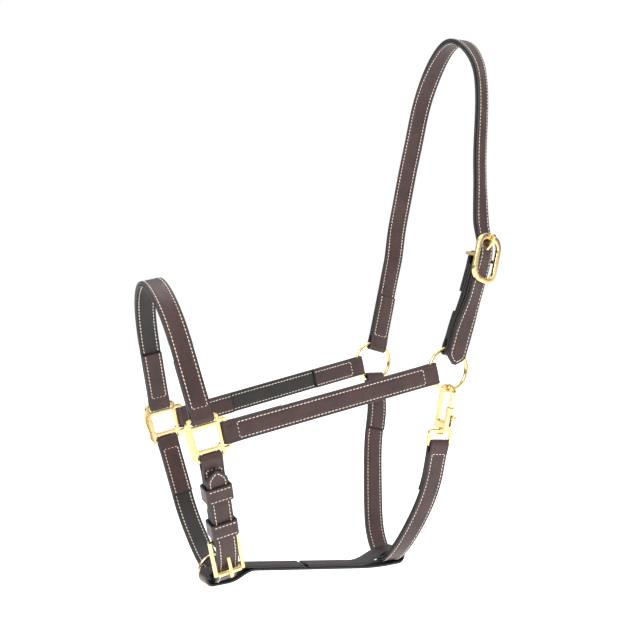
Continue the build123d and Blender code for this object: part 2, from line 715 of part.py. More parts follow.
with BuildPart() as throat_strap:
    loft(ply_sections(throat_line, LOOP_TAPER, throat_length - LOOP_TAPER, PLY_PITCH))
    add(lofted_fold(throat_top, Vector(-1, 0), throat_wire, Vector(0, 0, RING_SAG)))
    add(lofted_fold(strap_plane(throat_line, throat_length, no_twists), Vector(1, 0), BAR))
    loft(ply_sections(throat_line, fold_end, TUCK, -PLY_PITCH))
    loft(ply_sections(throat_line, throat_length - THROAT_TUCK, throat_length - fold_end, -PLY_PITCH))

with BuildPart() as throat_lining:
    loft(ply_sections(throat_line, LINING_SHY, throat_length - LINING_SHY, 0))

# ---- Jaw strap: one strip folded round the chin strap and round the throat strap ----
JAW_Y_FRONT = -16.0
jaw_front = square_point(0, JAW_Y_FRONT, -152.4)
jaw_rear = throat_bottom + Vector(0, 0, -PLY_PITCH / 2)
jaw_run = Vector(jaw_rear.X - jaw_front.X, jaw_rear.Y - jaw_front.Y, 0)
JAW_PLANE = Plane(origin=jaw_front, x_dir=jaw_run, z_dir=(jaw_run.Y, -jaw_run.X, 0))
rear = JAW_PLANE.to_local_coords(jaw_rear)
jaw_ply = PLY_PITCH / 2
FRONT_EYE_TILT = 6.0
FRONT_EYE = 6.5
REAR_EYE_LOW = 5.2
REAR_EYE_HIGH = 10.0
EYE_HALF = 11.5
REAR_EYE_TILT = 2.0
tilt_front = flat_direction(FRONT_EYE_TILT)
tilt_rear = flat_direction(REAR_EYE_TILT)
rise_front = quarter_turn(tilt_front)
rise_rear = quarter_turn(tilt_rear)
rear_flat = Vector(rear.X, rear.Y)


def front_eye(along, up):
    """A point about the chin strap's section, in the jaw strap's plane."""
    return tilt_front * along + rise_front * up


def rear_eye(along, up):
    """A point about the throat strap's section, in the jaw strap's plane."""
    return rear_flat + tilt_rear * along + rise_rear * up


front_body = front_eye(36.0, 0)
rear_body = rear_eye(-42.0, -1.0)
body_heading = (rear_body - front_body).normalized()
body_side = quarter_turn(body_heading) * jaw_ply
rear_turn = EYE_HALF - 2.0
rear_eye_middle = (REAR_EYE_HIGH - REAR_EYE_LOW) / 2
rear_eye_radius = (REAR_EYE_HIGH + REAR_EYE_LOW) / 2
jaw_strap = flat_ply(
    JAW_PLANE,
    [
        Line(front_body + body_heading * 58.0 + body_side, front_body + body_side),
        Spline(
            front_body + body_side,
            front_eye(EYE_HALF + 1.0, FRONT_EYE),
            front_eye(-EYE_HALF, FRONT_EYE),
            tangents=(-body_heading, -tilt_front),
        ),
        ThreePointArc(
            front_eye(-EYE_HALF, FRONT_EYE),
            front_eye(-EYE_HALF - FRONT_EYE, 0),
            front_eye(-EYE_HALF, -FRONT_EYE),
        ),
        Spline(
            front_eye(-EYE_HALF, -FRONT_EYE),
            front_eye(EYE_HALF + 1.0, -FRONT_EYE),
            front_body - body_side,
            tangents=(tilt_front, body_heading),
        ),
        Line(front_body - body_side, rear_body - body_side),
        Spline(
            rear_body - body_side,
            rear_eye(-EYE_HALF, -REAR_EYE_LOW),
            rear_eye(rear_turn, -REAR_EYE_LOW),
            tangents=(body_heading, tilt_rear),
        ),
        ThreePointArc(
            rear_eye(rear_turn, -REAR_EYE_LOW),
            rear_eye(rear_turn + rear_eye_radius, rear_eye_middle),
            rear_eye(rear_turn, REAR_EYE_HIGH),
        ),
        Spline(
            rear_eye(rear_turn, REAR_EYE_HIGH),
            rear_eye(-rear_turn, REAR_EYE_HIGH - 1.5),
            rear_body + body_side,
            tangents=(-tilt_rear, -body_heading),
        ),
        Line(rear_body + body_side, front_body + body_heading * 62.0 + body_side),
    ],
)

# ---- Snap on the near ring ----
snap_up = -snap_down
snap_back = (Vector(1, 0, 0) - snap_up * snap_up.X).normalized()
snap_inward = snap_up.cross(snap_back)
turn = radians(SNAP_TURN)
HOOK_PLANE = Plane(
    origin=near_ring_bottom,
    x_dir=snap_inward * cos(turn) - snap_back * sin(turn),
    z_dir=snap_back * cos(turn) + snap_inward * sin(turn),
)
EYE_PLANE = Plane(origin=snap_bar, x_dir=snap_back, z_dir=snap_back.cross(snap_up))
HOOK_INNER = 5.0
HOOK_OUTER = 9.2
HOOK_CENTRE = -2.4
HOOK_TIP = -6.0
GATE_END = -17.0
BODY_END = -41.0
POST_END = -43.0
SHOULDER = 9.0
SNAP_SOFTNESS = 1.2
EYE_HEIGHT = 19.0
EYE_WIDTH = 30.0
EYE_DEPTH = 4.0
EYE_SOFTNESS = 1.0
EYE_TOP = EYE_HEIGHT - BAR - SNAP_LENGTH
POST_PLAY = 0.15
HEAD = 7.0
HEAD_THICKNESS = 2.0
HEAD_GAP = 0.3
BOLT_X = -(HOOK_INNER + HOOK_OUTER) / 2
BOLT_GAP = 0.4
BOLT_PLAY = 0.25
BOLT_END = -29.6
BORE_END = -40.0
BARREL = 8.0
THUMB_Y = -27.0
THUMB_REACH = 14.0
THUMB_STEM = 1.2
THUMB_BALL = 2.8
THUMB_SLOT = 3.4
THUMB_SLOT_ENDS = 4.4
SPRING_WIRE = 0.5
SPRING_PITCH = 2.2


def hook_spot(along, up, toward):
    """A plane at a point of the hook's plane, facing a direction."""
    side = HOOK_PLANE.y_dir if abs(toward.dot(HOOK_PLANE.x_dir)) > 0.5 else HOOK_PLANE.x_dir
    return Plane(origin=HOOK_PLANE.from_local_coords(Vector(along, up, 0)), x_dir=side, z_dir=toward)


hook_down = -HOOK_PLANE.y_dir
barrel_plane = hook_spot(BOLT_X, GATE_END, hook_down)
post_plane = hook_spot(0, BODY_END, hook_down)
head_start = BODY_END - (EYE_TOP - BAR / 2 - HEAD_GAP)

with BuildPart() as snap_body:
    with BuildSketch(HOOK_PLANE):
        with Locations((0, HOOK_CENTRE)):
            Circle(HOOK_OUTER)
            Circle(HOOK_INNER, mode=Mode.SUBTRACT)
        with Locations((0, HOOK_CENTRE - HOOK_OUTER)):
            Rectangle(2 * HOOK_OUTER, 2 * HOOK_OUTER, mode=Mode.SUBTRACT)
        with Locations((-BOLT_X, (HOOK_CENTRE + BODY_END) / 2)):
            Rectangle(HOOK_OUTER - HOOK_INNER, HOOK_CENTRE - BODY_END)
        with Locations((BOLT_X, (HOOK_CENTRE + HOOK_TIP) / 2)):
            Rectangle(HOOK_OUTER - HOOK_INNER, HOOK_CENTRE - HOOK_TIP)
        with Locations((0, POST_END + SHOULDER / 2)):
            Rectangle(2 * HOOK_OUTER, SHOULDER)
    extrude(amount=SNAP_THICKNESS / 2, both=True)
    rims = snap_body.edges().filter_by(lambda edge: across_normal(edge, HOOK_PLANE))
    fillet(rims, SNAP_SOFTNESS)
    with BuildSketch(barrel_plane):
        Circle(BARREL / 2)
    extrude(amount=GATE_END - BODY_END)
    with BuildSketch(barrel_plane):
        Circle(SNAP_BOLT / 2 + BOLT_PLAY)
    extrude(amount=GATE_END - BORE_END, mode=Mode.SUBTRACT)
    with BuildSketch(HOOK_PLANE):
        with Locations((BOLT_X - BARREL / 2, THUMB_Y - SNAP_TRAVEL / 2)):
            Rectangle(BARREL, SNAP_TRAVEL + THUMB_SLOT_ENDS)
    extrude(amount=THUMB_SLOT / 2, both=True, mode=Mode.SUBTRACT)
    with BuildSketch(post_plane):
        Circle(BAR / 2)
    extrude(amount=head_start + HEAD_THICKNESS)
    with BuildSketch(post_plane.offset(head_start)):
        Circle(HEAD / 2)
    extrude(amount=HEAD_THICKNESS)

with BuildPart() as snap_bolt:
    with BuildSketch(hook_spot(BOLT_X, HOOK_TIP - BOLT_GAP, hook_down)):
        Circle(SNAP_BOLT / 2)
    extrude(amount=HOOK_TIP - BOLT_GAP - BOLT_END)
    with BuildSketch(hook_spot(BOLT_X, THUMB_Y, -HOOK_PLANE.x_dir)):
        Circle(THUMB_STEM)
    extrude(amount=THUMB_REACH + BOLT_X)
    with Locations(HOOK_PLANE.from_local_coords(Vector(-THUMB_REACH, THUMB_Y, 0))):
        Sphere(THUMB_BALL)

spring_plane = hook_spot(BOLT_X, BORE_END + SPRING_WIRE, HOOK_PLANE.y_dir)
spring_height = BOLT_END - BORE_END - 2 * SPRING_WIRE
spring_path = spring_plane.location * Helix(SPRING_PITCH, spring_height, SNAP_BOLT / 2 - BOLT_GAP)
with BuildPart() as snap_spring:
    with BuildSketch(Plane(origin=spring_path @ 0, z_dir=spring_path % 0)):
        Circle(SPRING_WIRE / 2)
    sweep(path=spring_path)

with BuildPart() as snap_eye:
    with BuildSketch(EYE_PLANE):
        with Locations((0, (EYE_HEIGHT - BAR) / 2)):
            RectangleRounded(EYE_WIDTH, EYE_HEIGHT, BAR)
            Rectangle(STRAP_WIDTH + 1.0, EYE_HEIGHT - 2 * BAR, mode=Mode.SUBTRACT)
    extrude(amount=EYE_DEPTH / 2, both=True)
    rims = snap_eye.edges().filter_by(lambda edge: across_normal(edge, EYE_PLANE))
    fillet(rims, EYE_SOFTNESS)
    with BuildSketch(post_plane):
        Circle(BAR / 2 + POST_PLAY)
    extrude(amount=EYE_HEIGHT / 2, mode=Mode.SUBTRACT)

PIECES = {
    "crown_strap": crown_strap,
    "crown_lining": crown_lining,
    "crown_buckle_chape": crown_buckle_chape,
    "crown_chape_lining": crown_chape_lining,
    "crown_buckle_frame": crown_buckle_frame,
    "crown_buckle_tongue": crown_buckle_tongue,
    "near_ring": near_ring,
    "far_ring": far_ring,
    "near_cheek_strap": near_cheek_strap,
    "near_cheek_lining": near_cheek_lining,
    "far_cheek_strap": far_cheek_strap,
    "far_cheek_lining": far_cheek_lining,
    "near_square": near_square,
    "far_square": far_square,
    "noseband": noseband,
    "noseband_lining": noseband_lining,
    "chin_strap": chin_strap,
    "chin_lining": chin_lining,
    "chin_buckle_chape": chin_buckle_chape,
    "chin_chape_lining": chin_chape_lining,
    "sliding_keeper": sliding_keeper,
    "fixed_keeper": fixed_keeper,
    "chin_buckle_frame": chin_buckle_frame,
    "chin_buckle_roller": chin_buckle_roller,
    "chin_buckle_tongue": chin_buckle_tongue,
    "lead_ring": lead_ring,
    "jaw_strap": jaw_strap,
    "throat_strap": throat_strap,
    "throat_lining": throat_lining,
    "snap_eye": snap_eye,
    "snap_body": snap_body,
    "snap_bolt": snap_bolt,
    "snap_spring": snap_spring,
}
os.makedirs("parts", exist_ok=True)
for name, piece in PIECES.items():
    piece.part.label = name
    export_step(piece.part, f"parts/{name}.step")
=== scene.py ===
"""Looks for a leather headcollar: real straps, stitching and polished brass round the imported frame.

The strap routes repeat the driving dimensions of the CAD part. Lengths in this file are millimetres in
the row frame, and turn into metres where a mesh is made.
"""

import math

import bpy
import numpy as np
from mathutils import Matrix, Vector


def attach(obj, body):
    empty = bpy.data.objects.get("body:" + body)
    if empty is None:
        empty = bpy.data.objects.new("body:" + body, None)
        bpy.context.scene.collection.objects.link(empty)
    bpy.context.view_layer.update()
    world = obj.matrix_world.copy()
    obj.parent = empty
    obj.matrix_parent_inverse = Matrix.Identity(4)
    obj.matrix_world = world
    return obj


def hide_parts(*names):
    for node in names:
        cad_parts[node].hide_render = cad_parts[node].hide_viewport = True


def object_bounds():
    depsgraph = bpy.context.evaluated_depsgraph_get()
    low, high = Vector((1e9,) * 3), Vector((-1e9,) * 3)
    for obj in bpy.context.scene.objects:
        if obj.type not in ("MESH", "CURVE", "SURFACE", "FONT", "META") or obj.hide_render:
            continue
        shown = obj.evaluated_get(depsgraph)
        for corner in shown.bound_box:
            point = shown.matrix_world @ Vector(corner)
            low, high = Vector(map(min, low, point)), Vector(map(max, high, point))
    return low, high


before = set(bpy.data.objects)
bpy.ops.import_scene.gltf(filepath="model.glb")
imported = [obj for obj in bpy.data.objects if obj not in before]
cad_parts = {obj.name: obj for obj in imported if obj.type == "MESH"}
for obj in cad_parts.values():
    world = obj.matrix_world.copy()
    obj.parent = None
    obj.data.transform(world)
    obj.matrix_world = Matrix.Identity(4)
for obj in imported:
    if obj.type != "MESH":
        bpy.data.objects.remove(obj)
cad_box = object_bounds()

MM = 0.001

# ---- Leather sizes ----
STRAP_WIDTH = 22.0
PLY = 2.7
PLY_PITCH = 2.9
LOOP_TAPER = 15.0
LOOP_CLEARANCE = 0.45
LINING_SHY = 9.0
TUCK = 60.0
SHORT_TUCK = 36.0
CHAPE_TUCK = 40.0
THROAT_TUCK = 55.0
POINT_LENGTH = 11.0
LINING_RISE = 6.75
EDGE_ROUND = 1.05
SWEEP_STEP = 3.0

# ---- Stitching ----
ROW_INSET = 3.3
STITCH_PITCH = 3.9
STITCH_LENGTH = 3.1
STITCH_WIDTH = 0.92
STITCH_HEIGHT = 0.5
GROOVE_DEPTH = 0.28
GROOVE_WIDTH = 0.8
SEAM_END_GAP = 10.0
SEAM_TIP_GAP = 3.4
SEAM_TUCK_GAP = 1.0
SHORTEST_SEAM = 12.0

# ---- Rings, squares and bars ----
RING_RADIUS = 22.2
RING_WIRE = 4.4
RING_HALF_SPAN = 86.0
RING_MIDDLE = np.array((-60.0, 0.0, -370.0))
RING_SAG = RING_RADIUS - math.sqrt(RING_RADIUS**2 - (STRAP_WIDTH / 2) ** 2) + 0.3
SQUARE_LEAN = math.radians(12.8)
SQUARE_TO_RING = 271.0
SQUARE_HALF_SPAN = 76.0
REAR_BAIL = 22.0
BAIL_UP = 20.0
BAIL_ACROSS = 4.97
THIN_BAR = 3.6


def unit(vector):
    """The vector at length one."""
    vector = np.asarray(vector, float)
    return vector / np.linalg.norm(vector)


BACK = np.array((math.cos(SQUARE_LEAN), 0.0, math.sin(SQUARE_LEAN)))
RISE = np.array((-math.sin(SQUARE_LEAN), 0.0, math.cos(SQUARE_LEAN)))
SIDE = np.array((0.0, 1.0, 0.0))
SQUARE_MIDDLE = RING_MIDDLE - BACK * SQUARE_TO_RING


def square_point(along, side, up):
    """A point given from the middle between the squares: back along the cheek, far side, up."""
    return SQUARE_MIDDLE + BACK * along + SIDE * side + RISE * up


# ---- Curves ----


def spline(points, start_tangent, end_tangent, step=1.0):
    """Points along a smooth curve through the given points, with its directions at both ends."""
    points = np.array(points, float)
    gaps = np.linalg.norm(np.diff(points, axis=0), axis=1)
    count = len(points)
    slopes = np.zeros((count, count))
    wanted = np.zeros_like(points)
    slopes[0, 0] = slopes[-1, -1] = 1.0
    wanted[0], wanted[-1] = unit(start_tangent), unit(end_tangent)
    for i in range(1, count - 1):
        before, after = gaps[i - 1], gaps[i]
        slopes[i, i - 1] = 1 / before
        slopes[i, i] = 2 / before + 2 / after
        slopes[i, i + 1] = 1 / after
        wanted[i] = 3 * (points[i] - points[i - 1]) / before**2 + 3 * (points[i + 1] - points[i]) / after**2
    tangents = np.linalg.solve(slopes, wanted)
    made = []
    for i, gap in enumerate(gaps):
        pieces = max(2, int(math.ceil(gap / step)))
        for share in np.arange(pieces) / pieces:
            square, cube = share**2, share**3
            made.append(
                points[i] * (2 * cube - 3 * square + 1)
                + tangents[i] * gap * (cube - 2 * square + share)
                + points[i + 1] * (3 * square - 2 * cube)
                + tangents[i + 1] * gap * (cube - square)
            )
    made.append(points[-1])
    return np.array(made)


def ease(position, stops):
    """A value that moves smoothly between (position, value) stops."""
    if position <= stops[0][0]:
        return stops[0][1]
    for (start, low), (end, high) in zip(stops, stops[1:]):
        if position <= end:
            share = (position - start) / (end - start)
            return low + (high - low) * share**2 * (3 - 2 * share)
    return stops[-1][1]


class Route:
    """A strap's reference line, with the directions along, outward from and across it."""

    def __init__(self, points, across):
        self.points = np.array(points, float)
        steps = np.linalg.norm(np.diff(self.points, axis=0), axis=1)
        self.at = np.concatenate([[0.0], np.cumsum(steps)])
        self.length = self.at[-1]
        self.across_rule = across

    def place(self, at):
        """Position, direction along, outward and across at a length; straight on past both ends."""
        within = min(max(at, 0.0), self.length)
        point = np.array([np.interp(within, self.at, self.points[:, k]) for k in range(3)])
        low, high = max(within - 1.5, 0.0), min(within + 1.5, self.length)
        ends = [np.array([np.interp(x, self.at, self.points[:, k]) for k in range(3)]) for x in (low, high)]
        along = unit(ends[1] - ends[0])
        across = np.asarray(self.across_rule(within), float)
        across = unit(across - along * across.dot(along))
        return point + along * (at - within), along, np.cross(across, along), across

    def spot(self, at, out, side=0.0):
        """The point at a length, a height outward and a distance across."""
        point, _, outward, across = self.place(at)
        return point + outward * out + across * side


def joined(*runs):
    """Runs of points as one line, without doubled points."""
    line = [runs[0]]
    for run in runs[1:]:
        line.append(run[1:])
    return np.vstack(line)


def straight(start, end):
    """Points along a straight line, about 2 mm apart."""
    start, end = np.asarray(start, float), np.asarray(end, float)
    count = max(2, int(np.linalg.norm(end - start) / 2) + 1)
    return start + (end - start) * np.linspace(0, 1, count)[:, None]


def fold_path(bar, sag, sag_out, tuck):
    """Flat (along, out) points of a ply that goes round a bar at 0 and back inside, from its outer run on.

    Along is negative towards the bar's far side, so the strap itself runs to positive along.
    """
    radius = bar / 2 + LOOP_CLEARANCE + PLY / 2
    centre = np.array((-sag, sag_out))
    first = spline([(LOOP_TAPER, PLY_PITCH), centre + (0, radius)], (-1, 0), (-1, 0), 1.5)
    turn = np.array([(-math.sin(a), math.cos(a)) for a in np.linspace(0, math.pi, 17)])
    last = spline([centre - (0, radius), (LOOP_TAPER, -PLY_PITCH)], (1, 0), (1, 0), 1.5)
    return joined(first, centre + turn * radius, last, straight((LOOP_TAPER, -PLY_PITCH), (tuck, -PLY_PITCH)))


def level(start, end, rise, lifts=((0.0, 0.0),), step=SWEEP_STEP):
    """Flat points of a ply at a height that follows its lifts."""
    count = max(2, int(abs(end - start) / step) + 1)
    stations = np.linspace(start, end, count)
    return np.array([(at, rise + ease(at, lifts)) for at in stations])


def from_end(path, length):
    """The same flat path, counted from the other end of a route."""
    return np.column_stack([length - path[:, 0], path[:, 1]])


# ---- Meshes ----


def new_object(name, verts, faces, material, body, uvs=None, edges=None, smooth=True):
    """A mesh object in metres that rides on a body."""
    mesh = bpy.data.meshes.new(name)
    mesh.from_pydata([tuple(v) for v in np.asarray(verts) * MM], [], faces)
    mesh.materials.append(material)
    if uvs is not None:
        layer = mesh.uv_layers.new(name="strap")
        corners = np.zeros(len(mesh.loops), int)
        mesh.loops.foreach_get("vertex_index", corners)
        layer.data.foreach_set("uv", (np.asarray(uvs)[corners] * MM).astype(np.float32).ravel())
    if edges is not None:
        attribute = mesh.attributes.new("edge", "FLOAT", "POINT")
        attribute.data.foreach_set("value", np.asarray(edges, np.float32))
    mesh.polygons.foreach_set("use_smooth", [smooth] * len(mesh.polygons))
    mesh.update()
    made = bpy.data.objects.new(name, mesh)
    bpy.context.scene.collection.objects.link(made)
    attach(made, body)
    return made


def ply_section(width, thickness, rows, grooved):
    """Corners of a ply's section as (across, out, edge) with rounded edges and stitching grooves."""
    half, deep = width / 2, thickness / 2
    round_edge = min(EDGE_ROUND, deep * 0.95)
    flat = half - round_edge
    marks = [-flat]
    for row in rows:
        marks += [row - 1.6 * GROOVE_WIDTH, row - 0.5 * GROOVE_WIDTH, row + 0.5 * GROOVE_WIDTH]
        marks += [row + 1.6 * GROOVE_WIDTH]
    marks += [-0.35 * flat, 0.35 * flat, flat]
    marks = sorted(set(marks))
    top, bottom = [], []
    for mark in marks:
        inside = any(abs(mark - row) < 0.6 * GROOVE_WIDTH for row in rows)
        dip = GROOVE_DEPTH if inside else 0.0
        edge = max(0.0, 1.0 - (half - abs(mark)) / 2.2)
        top.append((mark, deep - (dip if grooved[0] else 0.0), edge))
        bottom.append((mark, -deep + (dip if grooved[1] else 0.0), edge))
    right, left = [], []
    for angle in np.linspace(90, -90, 7)[1:-1]:
        c, s = math.cos(math.radians(angle)), math.sin(math.radians(angle))
        right.append((flat + round_edge * c, (deep - round_edge) * np.sign(s) + round_edge * s, 1.0))
        left.append((-flat - round_edge * c, (deep - round_edge) * np.sign(s) + round_edge * s, 1.0))
    return np.array(top + right + bottom[::-1] + left[::-1])


def sweep(name, points, across, body, material, widths=None, thickness=PLY, rows=(), grooved=(False, False),
          closed=False, width=STRAP_WIDTH, along=None):
    """A strap swept through points, its width lying across. Each ring's section may be narrower."""
    points, across = np.array(points, float), np.array(across, float)
    count = len(points)
    if closed:
        heading = np.roll(points, -1, 0) - np.roll(points, 1, 0)
    else:
        heading = np.gradient(points, axis=0)
    heading /= np.linalg.norm(heading, axis=1)[:, None]
    across = across - heading * (across * heading).sum(1)[:, None]
    across /= np.linalg.norm(across, axis=1)[:, None]
    out = np.cross(across, heading)
    steps = np.linalg.norm(np.diff(points, axis=0), axis=1)
    lengths = np.concatenate([[0.0], np.cumsum(steps)]) if along is None else np.asarray(along)
    widths = np.full(count, width) if widths is None else np.array(widths, float)
    base = ply_section(width, thickness, rows, grooved)
    ring = len(base)
    rings = [(i, 1.0, 0.0) for i in range(count)]
    if not closed:
        rings = [(0, 0.0, 0.0), (0, 0.72, 0.12)] + [(0, 1.0, 0.7)] + rings[1:-1]
        rings += [(count - 1, 1.0, -0.7), (count - 1, 0.72, -0.12), (count - 1, 0.0, 0.0)]
        rings = rings[1:-1]
    verts, uvs, edges = [], [], []
    for i, shrink, shift in rings:
        scale = widths[i] / width
        narrow = 0.5 * (1 - shrink) * 2.0
        for a, b, edge in base:
            wide = a * scale - math.copysign(min(narrow, abs(a * scale)), a)
            verts.append(points[i] + across[i] * wide + out[i] * b * shrink + heading[i] * shift)
            uvs.append((lengths[i] + shift, a * scale))
            edges.append(max(edge, 1.0 - shrink, 1.0 if shift else 0.0))
    faces = []
    total = len(rings)
    last = total if closed else total - 1
    for i in range(last):
        for k in range(ring):
            a, b = i * ring + k, i * ring + (k + 1) % ring
            c, d = ((i + 1) % total) * ring + (k + 1) % ring, ((i + 1) % total) * ring + k
            faces.append((a, b, c, d))
    if not closed:
        faces.append(tuple(range(ring))[::-1])
        faces.append(tuple((total - 1) * ring + k for k in range(ring)))
    return new_object(name, verts, faces, material, body, uvs, edges)


def ply(name, route, flat, body, material, stitched=True, point_at=None):
    """One ply of a strap, given by flat (along, out) points on its route."""
    rows = (-(STRAP_WIDTH / 2 - ROW_INSET), STRAP_WIDTH / 2 - ROW_INSET) if stitched else ()
    points = [route.spot(at, out) for at, out in flat]
    across = [route.place(at)[3] for at, _ in flat]
    widths = None
    if point_at is not None:
        widths = []
        for at, _ in flat:
            share = min(1.0, abs(at - point_at) / POINT_LENGTH)
            widths.append(max(0.14, 1 - (1 - share) ** 1.7) * STRAP_WIDTH)
    grooved = (stitched, stitched)
    return sweep(name, points, across, body, material, widths=widths, rows=rows, grooved=grooved)


def pointed_stations(flat, tip):
    """Closer stations over a pointed end, so that its outline is smooth."""
    near = flat[np.abs(flat[:, 0] - tip) > POINT_LENGTH]
    sign = 1 if near[0, 0] > tip or near[-1, 0] > tip else -1
    outs = flat[np.abs(flat[:, 0] - tip) <= POINT_LENGTH + SWEEP_STEP]
    stations = tip + sign * POINT_LENGTH * np.linspace(0, 1, 10) ** 1.4
    order = np.argsort(outs[:, 0])
    level_out = np.interp(stations, outs[order, 0], outs[order, 1])
    extra = np.column_stack([stations, level_out])
    if abs(flat[0, 0] - tip) < abs(flat[-1, 0] - tip):
        return np.vstack([extra, near])
    return np.vstack([near, extra[::-1]])


# ---- Stitches ----


def stitch_shape():
    """One stitch of thread, a short arched capsule along x with its ends sunk."""
    rings, sides = 7, 6
    verts, faces = [], []
    for i in range(rings):
        x = -1 + 2 * i / (rings - 1)
        fat = max(0.25, (1 - abs(x) ** 3.0)) ** 0.5
        lift = STITCH_HEIGHT * (1 - 1.6 * x**4)
        for k in range(sides):
            turn = 2 * math.pi * k / sides
            y = math.cos(turn) * STITCH_WIDTH / 2 * fat
            z = math.sin(turn) * STITCH_WIDTH / 2 * fat * 0.8
            verts.append((x * STITCH_LENGTH / 2, y, z + lift - 0.3))
    for i in range(rings - 1):
        for k in range(sides):
            a, b = i * sides + k, i * sides + (k + 1) % sides
            faces.append((a, b, b + sides, a + sides))
    faces.append(tuple(range(sides))[::-1])
    faces.append(tuple((rings - 1) * sides + k for k in range(sides)))
    return np.array(verts), faces


STITCH_VERTS, STITCH_FACES = stitch_shape()


class Seam:
    """Stitches gathered for one body, made into one object at the end."""

    def __init__(self):
        self.verts, self.faces = [], []

    def stitch(self, point, along, out):
        """One stitch at a point, along a direction, standing out of a surface."""
        side = np.cross(out, along)
        first = sum(len(v) for v in self.verts)
        wobble = math.sin(first * 12.9898) * 0.05 + 0.09
        turned = along * math.cos(wobble) + side * math.sin(wobble)
        axes = np.array([turned, np.cross(out, turned), out])
        self.verts.append(STITCH_VERTS @ axes + point)
        self.faces += [tuple(first + k for k in face) for face in STITCH_FACES]

    def line(self, points, outs):
        """Evenly spaced stitches along a run of points on a surface."""
        points, outs = np.array(points), np.array(outs)
        steps = np.linalg.norm(np.diff(points, axis=0), axis=1)
        at = np.concatenate([[0.0], np.cumsum(steps)])
        count = max(1, round(at[-1] / STITCH_PITCH))
        pitch = at[-1] / count
        for k in range(count):
            middle = (k + 0.5) * pitch
            ends = [np.array([np.interp(x, at, points[:, j]) for j in range(3)])
                    for x in (middle - 0.8, middle, middle + 0.8)]
            out = unit([np.interp(middle, at, outs[:, j]) for j in range(3)])
            along = unit(ends[2] - ends[0])
            out = unit(out - along * out.dot(along))
            self.stitch(ends[1], along, out)

    def outline(self, route, start, end, height, facing, lifts=((0.0, 0.0),), pointed=False, inset=ROW_INSET,
                cross_ends=(True, True), width=STRAP_WIDTH):
        """A stitched outline on a face of a strap: two rows, and the ends across."""
        row = width / 2 - inset
        stations = np.linspace(start, end, max(3, int(abs(end - start) / 3) + 1))

        def on_face(at, side):
            point, _, outward, across = route.place(at)
            return point + outward * (height + ease(at, lifts)) + across * side, outward * facing

        for side in (-row, row):
            if pointed:
                begin = start + math.copysign(0.62 * POINT_LENGTH, end - start)
                stations = np.linspace(begin, end, max(3, int(abs(end - begin) / 3) + 1))
            made = [on_face(at, side) for at in stations]
            self.line([m[0] for m in made], [m[1] for m in made])
        ends = [(start, cross_ends[0]), (end, cross_ends[1])]
        for at, wanted in ends:
            if not wanted:
                continue
            if pointed and at == start:
                for sign in (-1, 1):
                    sides = np.linspace(0.6, row, 5)
                    tip = [on_face(start + math.copysign(0.62 * POINT_LENGTH, end - start) * (s / row) ** 1.5,
                                   sign * s) for s in sides]
                    self.line([m[0] for m in tip], [m[1] for m in tip])
            else:
                made = [on_face(at, side) for side in np.linspace(-row, row, 6)]
                self.line([m[0] for m in made], [m[1] for m in made])

    def made(self, name, body, material):
        """All the stitches as one object."""
        return new_object(name, np.vstack(self.verts), self.faces, material, body)


# ---- Materials ----


class Nodes:
    """Short helper for building a node material."""

    def __init__(self, name):
        self.material = bpy.data.materials.new(name)
        self.material.use_nodes = True
        self.tree = self.material.node_tree
        self.shader = self.tree.nodes["Principled BSDF"]

    def add(self, kind, **values):
        node = self.tree.nodes.new(kind)
        for key, value in values.items():
            if key in node.inputs:
                node.inputs[key].default_value = value
            else:
                setattr(node, key, value)
        return node

    def link(self, out, into):
        self.tree.links.new(out, into)

    def ramp(self, source, stops):
        node = self.add("ShaderNodeValToRGB")
        elements = node.color_ramp.elements
        while len(elements) < len(stops):
            elements.new(0.5)
        for element, (position, colour) in zip(elements, stops):
            element.position = position
            element.color = (*colour, 1) if len(colour) == 3 else colour
        self.link(source, node.inputs["Fac"])
        return node.outputs["Color"]

    def mix(self, factor, low, high, blend="MIX"):
        node = self.add("ShaderNodeMix", data_type="RGBA", blend_type=blend)
        for value, socket in ((factor, node.inputs[0]), (low, node.inputs[6]), (high, node.inputs[7])):
            if isinstance(value, bpy.types.NodeSocket):
                self.link(value, socket)
            elif isinstance(value, tuple):
                socket.default_value = (*value, 1)
            else:
                socket.default_value = value
        return node.outputs[2]

    def maths(self, operation, first, second=0.0):
        node = self.add("ShaderNodeMath", operation=operation)
        for value, socket in ((first, node.inputs[0]), (second, node.inputs[1])):
            if isinstance(value, bpy.types.NodeSocket):
                self.link(value, socket)
            else:
                socket.default_value = value
        return node.outputs[0]


